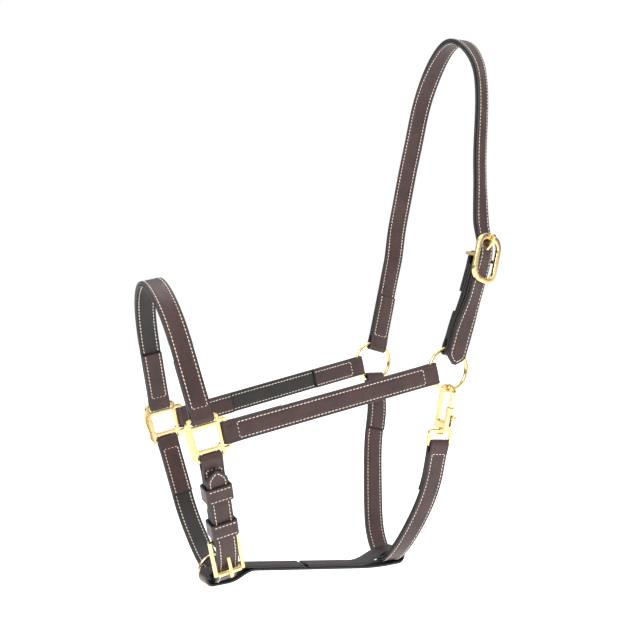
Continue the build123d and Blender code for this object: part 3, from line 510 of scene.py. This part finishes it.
def leather(name, face, fibre, edge_colour, shine, grain=1.0):
    """Waxed bridle leather: pebbled grain, cloudy colour, paler pull-up marks and dark finished edges."""
    m = Nodes(name)
    place = m.add("ShaderNodeTexCoord").outputs["Object"]
    cloud = m.add("ShaderNodeTexNoise", Scale=38.0, Detail=4.0, Roughness=0.6)
    fine = m.add("ShaderNodeTexNoise", Scale=420.0, Detail=5.0, Roughness=0.65)
    pebble = m.add("ShaderNodeTexVoronoi", Scale=900.0, feature="DISTANCE_TO_EDGE")
    crease = m.add("ShaderNodeTexNoise", Scale=95.0, Detail=6.0, Roughness=0.75, Distortion=0.8)
    for node in (cloud, fine, pebble, crease):
        m.link(place, node.inputs["Vector"])
    tone = m.ramp(cloud.outputs["Fac"], [(0.32, tuple(c * 0.72 for c in face)), (0.68, fibre)])
    speck = m.ramp(fine.outputs["Fac"], [(0.35, (0.72, 0.70, 0.70)), (0.65, (1.12, 1.10, 1.10))])
    body = m.mix(0.75, tone, speck, "MULTIPLY")
    edge = m.add("ShaderNodeAttribute", attribute_name="edge").outputs["Fac"]
    edge_mask = m.ramp(edge, [(0.45, (0, 0, 0)), (0.92, (1, 1, 1))])
    m.link(m.mix(edge_mask, body, edge_colour), m.shader.inputs["Base Color"])
    rough = m.ramp(crease.outputs["Fac"], [(0.3, (shine,) * 3), (0.7, (shine + 0.16,) * 3)])
    m.link(rough, m.shader.inputs["Roughness"])
    low = m.ramp(pebble.outputs["Distance"], [(0.0, (0, 0, 0)), (0.12, (1, 1, 1))])
    height = m.maths("ADD", m.maths("MULTIPLY", low, 0.35), m.maths("MULTIPLY", fine.outputs["Fac"], 0.9))
    height = m.maths("ADD", height, m.maths("MULTIPLY", crease.outputs["Fac"], 0.8))
    bump = m.add("ShaderNodeBump", Strength=0.35 * grain, Distance=0.00025)
    m.link(height, bump.inputs["Height"])
    m.link(bump.outputs["Normal"], m.shader.inputs["Normal"])
    m.shader.inputs["Coat Weight"].default_value = 0.12
    m.shader.inputs["Coat Roughness"].default_value = 0.35
    m.shader.inputs["Specular IOR Level"].default_value = 0.42
    return m.material


def thread(name, colour):
    """Waxed linen thread, twisted, a little soiled in places."""
    m = Nodes(name)
    place = m.add("ShaderNodeTexCoord").outputs["Object"]
    twist = m.add("ShaderNodeTexWave", Scale=900.0, Distortion=1.5)
    soil = m.add("ShaderNodeTexNoise", Scale=60.0, Detail=3.0)
    for node in (twist, soil):
        m.link(place, node.inputs["Vector"])
    dirt = m.ramp(soil.outputs["Fac"], [(0.35, tuple(c * 0.72 for c in colour)), (0.6, colour)])
    m.link(dirt, m.shader.inputs["Base Color"])
    m.shader.inputs["Roughness"].default_value = 0.62
    bump = m.add("ShaderNodeBump", Strength=0.4, Distance=0.0002)
    m.link(twist.outputs["Fac"], bump.inputs["Height"])
    m.link(bump.outputs["Normal"], m.shader.inputs["Normal"])
    return m.material


def metal(name, colour, dull, shine):
    """Cast and polished metal: soft unevenness, faint rubbing marks and duller patches."""
    m = Nodes(name)
    place = m.add("ShaderNodeTexCoord").outputs["Object"]
    wave = m.add("ShaderNodeTexNoise", Scale=70.0, Detail=2.0)
    rub = m.add("ShaderNodeTexNoise", Scale=900.0, Detail=3.0, Roughness=0.7)
    for node in (wave, rub):
        m.link(place, node.inputs["Vector"])
    tone = m.ramp(wave.outputs["Fac"], [(0.35, dull), (0.62, colour)])
    m.link(tone, m.shader.inputs["Base Color"])
    m.shader.inputs["Metallic"].default_value = 1.0
    rough = m.ramp(rub.outputs["Fac"], [(0.3, (shine,) * 3), (0.75, (shine + 0.14,) * 3)])
    m.link(rough, m.shader.inputs["Roughness"])
    height = m.maths("ADD", wave.outputs["Fac"], m.maths("MULTIPLY", rub.outputs["Fac"], 0.15))
    bump = m.add("ShaderNodeBump", Strength=0.16, Distance=0.0004)
    m.link(height, bump.inputs["Height"])
    m.link(bump.outputs["Normal"], m.shader.inputs["Normal"])
    return m.material


HAVANA = leather(
    "havana leather", (0.040, 0.0165, 0.0150), (0.054, 0.023, 0.020), (0.010, 0.009, 0.009), 0.40
)
LINING = leather("lining leather", (0.013, 0.010, 0.010), (0.019, 0.014, 0.013), (0.010, 0.009, 0.009), 0.5)
JAW = leather("jaw leather", (0.020, 0.012, 0.011), (0.028, 0.017, 0.014), (0.010, 0.009, 0.009), 0.34, 0.7)
THREAD = thread("cream thread", (0.80, 0.72, 0.60))
BRASS = metal("polished brass", (0.87, 0.66, 0.33), (0.78, 0.57, 0.27), 0.13)
ROSE_BRASS = metal("rose brass", (0.86, 0.62, 0.42), (0.76, 0.53, 0.34), 0.14)
STEEL = metal("spring steel", (0.62, 0.62, 0.62), (0.5, 0.5, 0.5), 0.2)

FRONT = "front_section"
PINNED = "root"

# ---- Cheek straps ----
front_seam, root_seam = Seam(), Seam()
OUTER_FACE = PLY_PITCH + PLY / 2
INNER_FACE = -PLY_PITCH - PLY / 2
LINING_FACE = -PLY / 2


def folded_strap(name, route, bars, sags, tucks, body, seam, hide, sag_outs=(0.0, 0.0), inside=None):
    """A strap folded round a bar at both ends, with its lining and its stitching."""
    start = fold_path(bars[0], sags[0], sag_outs[0], tucks[0])[::-1]
    end = from_end(fold_path(bars[1], sags[1], sag_outs[1], tucks[1]), route.length)
    middle = level(LOOP_TAPER, route.length - LOOP_TAPER, PLY_PITCH)
    flat = joined(start, middle, end)
    strap = ply(name, route, flat, body, HAVANA)
    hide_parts(hide[0])
    inner = level(LINING_SHY, route.length - LINING_SHY, 0.0)
    lining = ply(name + "_lining", route, inner, body, inside or LINING)
    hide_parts(hide[1])
    far_end, far_tuck = route.length - SEAM_END_GAP, route.length - tucks[1]
    seam.outline(route, SEAM_END_GAP, far_end, OUTER_FACE, 1)
    seam.outline(route, SEAM_END_GAP, tucks[0] - SEAM_TUCK_GAP, INNER_FACE, -1, cross_ends=(True, False))
    seam.outline(route, far_end, far_tuck + SEAM_TUCK_GAP, INNER_FACE, -1, cross_ends=(True, False))
    if far_tuck - tucks[0] > SHORTEST_SEAM:
        seam.outline(route, tucks[0] + SEAM_TUCK_GAP, far_tuck - SEAM_TUCK_GAP, LINING_FACE, -1,
                     cross_ends=(False, False))
    return strap


def cheek(name, side):
    """One cheek strap, from its square's rear bail to its ring."""
    start = square_point(REAR_BAIL, side * SQUARE_HALF_SPAN, 0)
    end = square_point(SQUARE_TO_RING - RING_RADIUS, side * RING_HALF_SPAN, 0)
    route = Route(straight(start, end), lambda at: RISE * side)
    folded_strap(f"{name}_cheek", route, (BAIL_ACROSS, RING_WIRE), (0, RING_SAG), (TUCK, TUCK), FRONT,
                 front_seam, (f"{name}_cheek_strap", f"{name}_cheek_lining"))


cheek("near", -1)
cheek("far", 1)

# ---- Noseband ----
NOSE_ANGLE = math.radians(13.0)
NOSE_STRAIGHT = 62.0
NOSE_POINTS = [(50.5, 114.5), (29.0, 142.0), (0.0, 153.5), (-29.0, 142.0), (-50.5, 114.5)]


def front_points(flat):
    """Points of the front plane, given as (far side, up), in the row frame."""
    return np.array([square_point(0, y, up) for y, up in flat])


nose_up = np.array((-math.sin(NOSE_ANGLE), math.cos(NOSE_ANGLE)))
nose_bar = np.array((SQUARE_HALF_SPAN, BAIL_UP))
nose_end = nose_bar + nose_up * NOSE_STRAIGHT
mirrored = np.array((-1.0, 1.0))
nose_curve = spline([nose_end, *NOSE_POINTS, nose_end * mirrored], nose_up, -nose_up * mirrored)
nose_line = joined(
    straight(nose_bar, nose_end), nose_curve, straight(nose_end * mirrored, nose_bar * mirrored)
)
nose_route = Route(front_points(nose_line), lambda at: -BACK)
folded_strap("nose_band", nose_route, (BAIL_ACROSS, BAIL_ACROSS), (0, 0), (TUCK, TUCK), FRONT, front_seam,
             ("noseband", "noseband_lining"))

# ---- Chin ----
CHIN_ANGLE = math.radians(12.5)
CHIN_HEEL_AT = 88.0
CHIN_ROLLER_AT = 121.0
ROLLER_RISE = 5.0
ROLLER_RADIUS = 3.0
CHIN_UNDER_ROLLER = ROLLER_RISE - ROLLER_RADIUS - 4 * LOOP_CLEARANCE - PLY / 2 - PLY_PITCH
CHIN_LINING_SEAM_GAP = 14.0
CHIN_TIP_AT = 9.0
CHIN_STRAIGHT = 68.0
CHIN_POINTS = [(42.0, -122.0), (18.0, -143.0), (-8.0, -150.5), (-33.0, -149.0)]

chin_down = np.array((math.sin(CHIN_ANGLE), -math.cos(CHIN_ANGLE)))
chin_outward = np.array((chin_down[1], -chin_down[0]))
chin_bar = np.array((-SQUARE_HALF_SPAN, -BAIL_UP))
far_chin_bar = chin_bar * mirrored
far_chin_down = chin_down * mirrored


def chin_flat(down, out):
    """A point of the front plane, given down the chin chape and outward from it."""
    return chin_bar + chin_down * down + chin_outward * out


chin_run = spline(
    [far_chin_bar + far_chin_down * CHIN_STRAIGHT, *CHIN_POINTS,
     chin_flat(CHIN_ROLLER_AT, CHIN_UNDER_ROLLER), chin_flat(CHIN_HEEL_AT - 2.0, LINING_RISE)],
    far_chin_down, -chin_down,
)
chin_line = joined(
    straight(far_chin_bar, far_chin_bar + far_chin_down * CHIN_STRAIGHT), chin_run,
    straight(chin_run[-1], chin_flat(CHIN_TIP_AT, LINING_RISE)),
)
chin_route = Route(front_points(chin_line), lambda at: BACK)
chin_start = fold_path(BAIL_ACROSS, 0, 0, TUCK)[::-1]
chin_outer = joined(chin_start, level(LOOP_TAPER, chin_route.length, PLY_PITCH, step=2.0))
chin_pointed = pointed_stations(chin_outer, chin_route.length)
chin_strap = ply("chin_strap_leather", chin_route, chin_pointed, FRONT, HAVANA, point_at=chin_route.length)
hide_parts("chin_strap")
chin_inner = pointed_stations(level(LINING_SHY, chin_route.length, 0.0, step=2.0), chin_route.length)
chin_lining = ply("chin_lining_leather", chin_route, chin_inner, FRONT, LINING, point_at=chin_route.length)
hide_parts("chin_lining")
front_seam.outline(chin_route, chin_route.length - SEAM_TIP_GAP, SEAM_END_GAP, OUTER_FACE, 1, pointed=True)
front_seam.outline(chin_route, SEAM_END_GAP, TUCK - SEAM_TUCK_GAP, INNER_FACE, -1, cross_ends=(True, False))
front_seam.outline(chin_route, TUCK + SEAM_TUCK_GAP, chin_route.length - CHIN_LINING_SEAM_GAP,
                   LINING_FACE, -1, cross_ends=(False, False))

chape_points = [chin_flat(0, 0), chin_flat(CHIN_HEEL_AT, 0)]
chape_route = Route(front_points(straight(*chape_points)), lambda at: -BACK)
folded_strap("chin_chape", chape_route, (BAIL_ACROSS, THIN_BAR), (0, 0), (SHORT_TUCK, SHORT_TUCK), FRONT,
             front_seam, ("chin_buckle_chape", "chin_chape_lining"))

# ---- Keepers ----
KEEPER_LENGTH = 16.0
KEEPER_WALL = 2.4
KEEPER_INSET = 2.6
KEEPER_BEND = 2.2
KEEPER_SEAM_GAP = 1.5
SLIDING_KEEPER_AT = 34.0
FIXED_KEEPER_AT = 72.0


def keeper(name, at, body, hide, seam):
    """A leather loop round the chin chape and the strap end, with a stitched border."""
    low = -PLY_PITCH - PLY / 2 - LOOP_CLEARANCE - KEEPER_WALL / 2
    high = LINING_RISE + PLY_PITCH + PLY / 2 + LOOP_CLEARANCE + KEEPER_WALL / 2
    half = STRAP_WIDTH / 2 + LOOP_CLEARANCE + KEEPER_WALL / 2
    bend = KEEPER_BEND
    row = KEEPER_LENGTH / 2 - KEEPER_INSET
    corners = [(half - bend, high - bend, 90), (half - bend, low + bend, 0), (-half + bend, low + bend, -90),
               (-half + bend, high - bend, -180)]
    loop = []
    for side, out, first in corners:
        for angle in np.radians(np.linspace(first, first - 90, 6)):
            loop.append((side + bend * math.cos(angle), out + bend * math.sin(angle)))
    loop = np.array(loop)
    filled = []
    for (a, b), (c, d) in zip(loop, np.roll(loop, -1, 0)):
        pieces = max(1, int(math.hypot(c - a, d - b) / 3))
        filled += [(a + (c - a) * k / pieces, b + (d - b) * k / pieces) for k in range(pieces)]
    points = [chape_route.spot(at, out, side) for side, out in filled]
    _, along, outward, _ = chape_route.place(at)
    made = sweep(name, points, [along] * len(points), body, HAVANA, thickness=KEEPER_WALL, closed=True,
                 width=KEEPER_LENGTH, rows=(-row, row), grooved=(True, False))
    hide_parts(hide)
    face = high + KEEPER_WALL / 2
    for shift in (-row, row):
        sides = np.linspace(-half + KEEPER_SEAM_GAP, half - KEEPER_SEAM_GAP, 8)
        seam.line([chape_route.spot(at + shift, face, s) for s in sides], [outward] * len(sides))


keeper_seam = Seam()
keeper("sliding_keeper_loop", SLIDING_KEEPER_AT, "chin_keeper", "sliding_keeper", keeper_seam)
keeper("fixed_keeper_loop", FIXED_KEEPER_AT, FRONT, "fixed_keeper", front_seam)

# ---- Crown ----
CROWN_LEAN = math.radians(14.8)
CROWN_SPREAD = math.radians(4.5)
CROWN_STRAIGHT = 103.0
CROWN_TWIST = 30.0
BUCKLE_TWIST = 20.0
CROWN_BUCKLE_AT = 101.0
CROWN_LINING_SEAM_GAP = 14.0
CROWN_TAIL_DROP = 16.0
CROWN_TAIL_RISE = 7.8
CROWN_SIDE = [
    (-24.5, 92.2, -216.0),
    (-21.0, 85.0, -178.0),
    (-16.5, 77.5, -138.0),
    (-10.5, 71.2, -98.0),
    (-5.5, 63.5, -60.0),
    (-1.5, 47.0, -28.0),
]
far_rise = np.array((
    math.sin(CROWN_LEAN) * math.cos(CROWN_SPREAD), math.sin(CROWN_SPREAD),
    math.cos(CROWN_LEAN) * math.cos(CROWN_SPREAD),
))
flip = np.array((1.0, -1.0, 1.0))
ring_top = RING_MIDDLE + RING_RADIUS * np.array((math.sin(CROWN_LEAN), 0, math.cos(CROWN_LEAN)))
far_top = ring_top + SIDE * RING_HALF_SPAN
near_top = ring_top - SIDE * RING_HALF_SPAN
near_rise = far_rise * flip
arch = spline(
    [near_top + near_rise * CROWN_STRAIGHT, *[np.array(p) * flip for p in CROWN_SIDE], (0, 0, PLY / 2),
     *[np.array(p) for p in reversed(CROWN_SIDE)], far_top + far_rise * CROWN_STRAIGHT],
    near_rise, -far_rise,
)
crown_points = joined(straight(near_top, arch[0]), arch, straight(arch[-1], far_top))
crown_length = np.linalg.norm(np.diff(crown_points, axis=0), axis=1).sum()
crown_twists = [
    (LOOP_TAPER, 0),
    (CROWN_BUCKLE_AT - 40.0, BUCKLE_TWIST),
    (CROWN_BUCKLE_AT + 30.0, BUCKLE_TWIST),
    (CROWN_BUCKLE_AT + 90.0, CROWN_TWIST),
    (crown_length / 2 - 90.0, CROWN_TWIST),
    (crown_length / 2, 0),
    (crown_length / 2 + 90.0, -CROWN_TWIST),
    (crown_length - CROWN_BUCKLE_AT - 70.0, -CROWN_TWIST),
    (crown_length - CROWN_BUCKLE_AT + 30.0, 0),
]
tail_lifts = [
    (LOOP_TAPER, CROWN_TAIL_RISE),
    (CROWN_BUCKLE_AT / 2, LINING_RISE),
    (CROWN_BUCKLE_AT - 2.0, LINING_RISE),
    (CROWN_BUCKLE_AT + 40.0, 0),
]


def crown_across(at):
    """Across the crown strap, which turns a little backward above the rings."""
    twist = math.radians(ease(at, crown_twists))
    return np.array((math.cos(twist), math.sin(twist), 0.0))


crown_route = Route(crown_points, crown_across)
crown_wire = RING_WIRE + 2 * RING_SAG * math.sin(CROWN_SPREAD)
crown_sag_out = RING_SAG * math.sin(CROWN_SPREAD)
crown_tip = -CROWN_TAIL_DROP
crown_end = from_end(fold_path(crown_wire, RING_SAG, -crown_sag_out, TUCK), crown_route.length)
crown_flat = level(crown_tip, crown_route.length - LOOP_TAPER, PLY_PITCH, tail_lifts)
crown_outer = joined(pointed_stations(crown_flat, crown_tip), crown_end)
crown_strap = ply("crown_strap_leather", crown_route, crown_outer, PINNED, HAVANA, point_at=crown_tip)
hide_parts("crown_strap")
crown_inner = pointed_stations(level(crown_tip, crown_route.length - LINING_SHY, 0.0, tail_lifts), crown_tip)
crown_lining = ply("crown_lining_leather", crown_route, crown_inner, PINNED, HAVANA, point_at=crown_tip)
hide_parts("crown_lining")
crown_seam_end, crown_tuck = crown_route.length - SEAM_END_GAP, crown_route.length - TUCK
root_seam.outline(crown_route, crown_tip + SEAM_TIP_GAP, crown_seam_end, OUTER_FACE, 1, tail_lifts,
                  pointed=True)
root_seam.outline(crown_route, CROWN_BUCKLE_AT + CROWN_LINING_SEAM_GAP, crown_tuck - SEAM_TUCK_GAP,
                  LINING_FACE, -1, tail_lifts, cross_ends=(False, False))
root_seam.outline(crown_route, crown_seam_end, crown_tuck + SEAM_TUCK_GAP, INNER_FACE, -1,
                  cross_ends=(True, False))

crown_chape_points = [crown_route.spot(at, 0) for at in np.linspace(0, CROWN_BUCKLE_AT, 60)]
crown_chape_route = Route(crown_chape_points, crown_across)
folded_strap("crown_chape", crown_chape_route, (crown_wire, THIN_BAR), (RING_SAG, 0),
             (CHAPE_TUCK, CHAPE_TUCK), PINNED, root_seam, ("crown_buckle_chape", "crown_chape_lining"),
             (-crown_sag_out, 0))

# ---- Throat ----
THROAT_ANGLE = math.radians(14.0)
THROAT_BACK = math.radians(4.0)
SNAP_LEAN = math.radians(3.3)
SNAP_LENGTH = 60.5
SNAP_EYE_BAR = 4.0
THROAT_BOTTOM = RING_MIDDLE + np.array((-28.0, 0.0, -214.5))
far_bottom = RING_MIDDLE + np.array(
    (RING_RADIUS * math.sin(THROAT_BACK), RING_HALF_SPAN, -RING_RADIUS * math.cos(THROAT_BACK))
)
near_bottom = RING_MIDDLE + np.array((0, -RING_HALF_SPAN, -RING_RADIUS))
throat_start = np.array((0, -math.sin(THROAT_ANGLE), -math.cos(THROAT_ANGLE)))
snap_down = unit((-math.sin(SNAP_LEAN), -throat_start[1], throat_start[2]))
snap_bar = near_bottom + snap_down * SNAP_LENGTH
throat_points = spline(
    [far_bottom, far_bottom + throat_start * 2 * LOOP_TAPER, (-66.0, 70.5, -455.0), (-73.0, 60.0, -498.0),
     (-81.0, 43.5, -538.0), (-86.5, 25.5, -568.0), THROAT_BOTTOM, (-86.0, -25.5, -570.0),
     (-79.0, -43.5, -543.0), snap_bar + snap_down * 40.0, snap_bar + snap_down * LOOP_TAPER, snap_bar],
    throat_start, -snap_down,
)
throat_route = Route(throat_points, lambda at: (1.0, 0.0, 0.0))
throat_wire = RING_WIRE + 2 * RING_SAG * math.sin(THROAT_ANGLE)
folded_strap("throat_band", throat_route, (throat_wire, SNAP_EYE_BAR), (RING_SAG * math.cos(THROAT_ANGLE), 0),
             (TUCK, THROAT_TUCK), FRONT, front_seam, ("throat_strap", "throat_lining"),
             (-RING_SAG * math.sin(THROAT_ANGLE), 0), HAVANA)

# ---- Jaw strap ----
JAW_FRONT = square_point(0, -16.0, -152.4)
JAW_REAR = THROAT_BOTTOM - np.array((0, 0, PLY_PITCH / 2))
FRONT_TILT = math.radians(6.0)
REAR_TILT = math.radians(2.0)
FRONT_EYE = 6.5
REAR_LOW = 5.2
REAR_HIGH = 10.0
EYE_HALF = 11.5
JAW_LAP_START = 58.0
JAW_LAP_END = 62.0
jaw_heading = unit((JAW_REAR[0] - JAW_FRONT[0], JAW_REAR[1] - JAW_FRONT[1], 0))
jaw_side = np.cross((0, 0, 1.0), jaw_heading)
rear_flat = np.array(((JAW_REAR - JAW_FRONT).dot(jaw_heading), JAW_REAR[2] - JAW_FRONT[2]))


def tilted(tilt, along, up):
    """A flat vector given along and up from a tilted direction."""
    c, s = math.cos(tilt), math.sin(tilt)
    return np.array((c * along - s * up, s * along + c * up))


def front_eye(along, up):
    """A flat point about the chin strap's section."""
    return tilted(FRONT_TILT, along, up)


def rear_eye(along, up):
    """A flat point about the throat strap's section."""
    return rear_flat + tilted(REAR_TILT, along, up)


def half_turn(first, middle, radius, sign):
    """Flat points of a half circle from its first point."""
    start = unit(first - middle)
    side = np.array((-start[1], start[0])) * sign
    return np.array([middle + radius * (start * math.cos(a) + side * math.sin(a))
                     for a in np.linspace(0, math.pi, 15)])


front_body, rear_body = front_eye(36.0, 0), rear_eye(-42.0, -1.0)
jaw_run = unit(rear_body - front_body)
jaw_up = np.array((-jaw_run[1], jaw_run[0])) * PLY_PITCH / 2
tilt_front, tilt_rear = tilted(FRONT_TILT, 1, 0), tilted(REAR_TILT, 1, 0)
rear_turn = EYE_HALF - 2.0
rear_middle = rear_eye(rear_turn, (REAR_HIGH - REAR_LOW) / 2)
jaw_flat = joined(
    straight(front_body + jaw_run * JAW_LAP_START + jaw_up, front_body + jaw_up),
    spline([front_body + jaw_up, front_eye(EYE_HALF + 1, FRONT_EYE), front_eye(-EYE_HALF, FRONT_EYE)],
           -jaw_run, -tilt_front),
    half_turn(front_eye(-EYE_HALF, FRONT_EYE), front_eye(-EYE_HALF, 0), FRONT_EYE, 1),
    spline([front_eye(-EYE_HALF, -FRONT_EYE), front_eye(EYE_HALF + 1, -FRONT_EYE), front_body - jaw_up],
           tilt_front, jaw_run),
    straight(front_body - jaw_up, rear_body - jaw_up),
    spline([rear_body - jaw_up, rear_eye(-EYE_HALF, -REAR_LOW), rear_eye(rear_turn, -REAR_LOW)],
           jaw_run, tilt_rear),
    half_turn(rear_eye(rear_turn, -REAR_LOW), rear_middle, (REAR_HIGH + REAR_LOW) / 2, 1),
    spline([rear_eye(rear_turn, REAR_HIGH), rear_eye(-rear_turn, REAR_HIGH - 1.5), rear_body + jaw_up],
           -tilt_rear, -jaw_run),
    straight(rear_body + jaw_up, front_body + jaw_run * JAW_LAP_END + jaw_up),
)
jaw_points = [JAW_FRONT + jaw_heading * a + np.array((0, 0, 1.0)) * b for a, b in jaw_flat]
jaw = sweep("jaw_strap_leather", jaw_points, [jaw_side] * len(jaw_points), FRONT, JAW)
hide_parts("jaw_strap")

front_seam.made("front_stitching", FRONT, THREAD)
root_seam.made("crown_stitching", PINNED, THREAD)
keeper_seam.made("sliding_keeper_stitching", "chin_keeper", THREAD)

# ---- Metal ----
WELD_DISTANCE = 0.00002
SHARP_ANGLE = math.radians(38)
METAL = {
    "near_ring": BRASS, "far_ring": BRASS, "near_square": BRASS, "far_square": BRASS,
    "crown_buckle_frame": BRASS, "crown_buckle_tongue": BRASS, "chin_buckle_frame": BRASS,
    "chin_buckle_roller": BRASS, "chin_buckle_tongue": BRASS, "snap_eye": BRASS, "snap_body": BRASS,
    "snap_bolt": BRASS, "lead_ring": ROSE_BRASS, "snap_spring": STEEL,
}
for node, material in METAL.items():
    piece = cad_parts[node]
    piece.data.materials.clear()
    piece.data.materials.append(material)
    piece.data.polygons.foreach_set("use_smooth", [True] * len(piece.data.polygons))
    bpy.context.view_layer.objects.active = piece
    weld = piece.modifiers.new("weld", "WELD")
    weld.merge_threshold = WELD_DISTANCE
    split = piece.modifiers.new("split", "EDGE_SPLIT")
    split.split_angle = SHARP_ANGLE

# ---- Floor, light and camera ----
FLOOR_Z = cad_box[0].z - 0.16
FLOOR_RADIUS = 12.0
FLOOR_SIDES = 64
FLOOR_COLOUR = (0.9, 0.9, 0.9)
FLOOR_GLOW = 0.8
# How bright the room is from below (0) through level (0.5) to straight up (1).
ROOM_LIGHT = [(0.30, 0.55), (0.47, 0.10), (0.56, 0.16), (0.72, 0.75), (0.95, 1.0)]


def stage_material(name, colour, glow):
    """Plain matt white paper, lit a little from itself so that it stays clean."""
    m = Nodes(name)
    m.shader.inputs["Base Color"].default_value = (*colour, 1)
    m.shader.inputs["Roughness"].default_value = 0.9
    m.shader.inputs["Emission Color"].default_value = (1, 1, 1, 1)
    m.shader.inputs["Emission Strength"].default_value = glow
    return m.material


def paper():
    """A round paper floor."""
    turns = [2 * math.pi * k / FLOOR_SIDES for k in range(FLOOR_SIDES)]
    ring = [(FLOOR_RADIUS * math.cos(turn), FLOOR_RADIUS * math.sin(turn), FLOOR_Z) for turn in turns]
    mesh = bpy.data.meshes.new("paper_floor")
    mesh.from_pydata(ring, [], [tuple(range(FLOOR_SIDES))])
    mesh.materials.append(stage_material("white paper", FLOOR_COLOUR, FLOOR_GLOW))
    made = bpy.data.objects.new("paper_floor", mesh)
    bpy.context.scene.collection.objects.link(made)
    return made


paper()

def studio_room():
    """A room that the object reflects, dark at eye level and bright overhead; the camera sees it white."""
    world = bpy.data.worlds.new("studio")
    bpy.context.scene.world = world
    world.use_nodes = True
    tree = world.node_tree
    background = tree.nodes["Background"]
    background.inputs["Strength"].default_value = 1.0
    heading = tree.nodes.new("ShaderNodeTexCoord")
    axes = tree.nodes.new("ShaderNodeSeparateXYZ")
    room = tree.nodes.new("ShaderNodeValToRGB")
    ray = tree.nodes.new("ShaderNodeLightPath")
    choose = tree.nodes.new("ShaderNodeMix")
    choose.data_type = "RGBA"
    while len(room.color_ramp.elements) < len(ROOM_LIGHT):
        room.color_ramp.elements.new(0.5)
    for element, (position, light) in zip(room.color_ramp.elements, ROOM_LIGHT):
        element.position = position
        element.color = (light, light, light, 1)
    height = tree.nodes.new("ShaderNodeMapRange")
    height.inputs["From Min"].default_value = -1.0
    tree.links.new(heading.outputs["Generated"], axes.inputs[0])
    tree.links.new(axes.outputs["Z"], height.inputs["Value"])
    tree.links.new(height.outputs["Result"], room.inputs["Fac"])
    tree.links.new(ray.outputs["Is Camera Ray"], choose.inputs[0])
    tree.links.new(room.outputs["Color"], choose.inputs[6])
    choose.inputs[7].default_value = (1, 1, 1, 1)
    tree.links.new(choose.outputs[2], background.inputs["Color"])


def softbox(name, place, aim, size, power):
    """A square area light at a place, aimed at a point."""
    light = bpy.data.lights.new(name, "AREA")
    light.shape = "SQUARE"
    light.size = size
    light.energy = power
    made = bpy.data.objects.new(name, light)
    made.location = place
    made.rotation_euler = (Vector(aim) - Vector(place)).to_track_quat("-Z", "Y").to_euler()
    bpy.context.scene.collection.objects.link(made)


studio_room()
AIM = (-0.17, 0.0, -0.32)
softbox("key", (-1.6, -1.5, 0.9), AIM, 0.9, 28)
softbox("fill", (1.4, -1.6, 0.3), AIM, 1.2, 12)
softbox("top", (-0.2, 0.3, 1.6), AIM, 1.4, 18)

CAMERA_AZIMUTH = math.radians(-24.5)
CAMERA_ELEVATION = math.radians(0.5)
CAMERA_DISTANCE = 1.075
CAMERA_TARGET = Vector((-0.170, 0.0, -0.318))
SENSOR_WIDTH = 36.0
LENS = 55.40625
away = Vector((
    math.sin(CAMERA_AZIMUTH) * math.cos(CAMERA_ELEVATION),
    -math.cos(CAMERA_AZIMUTH) * math.cos(CAMERA_ELEVATION),
    math.sin(CAMERA_ELEVATION),
))
camera_data = bpy.data.cameras.new("camera")
camera_data.sensor_width = SENSOR_WIDTH
camera_data.lens = LENS
camera_data.clip_start = 0.05
camera_data.clip_end = 60
camera = bpy.data.objects.new("camera", camera_data)
camera.location = CAMERA_TARGET + away * CAMERA_DISTANCE
camera.rotation_euler = (-away).to_track_quat("-Z", "Y").to_euler()
bpy.context.scene.collection.objects.link(camera)
bpy.context.scene.camera = camera
bpy.context.scene.view_settings.view_transform = "Standard"
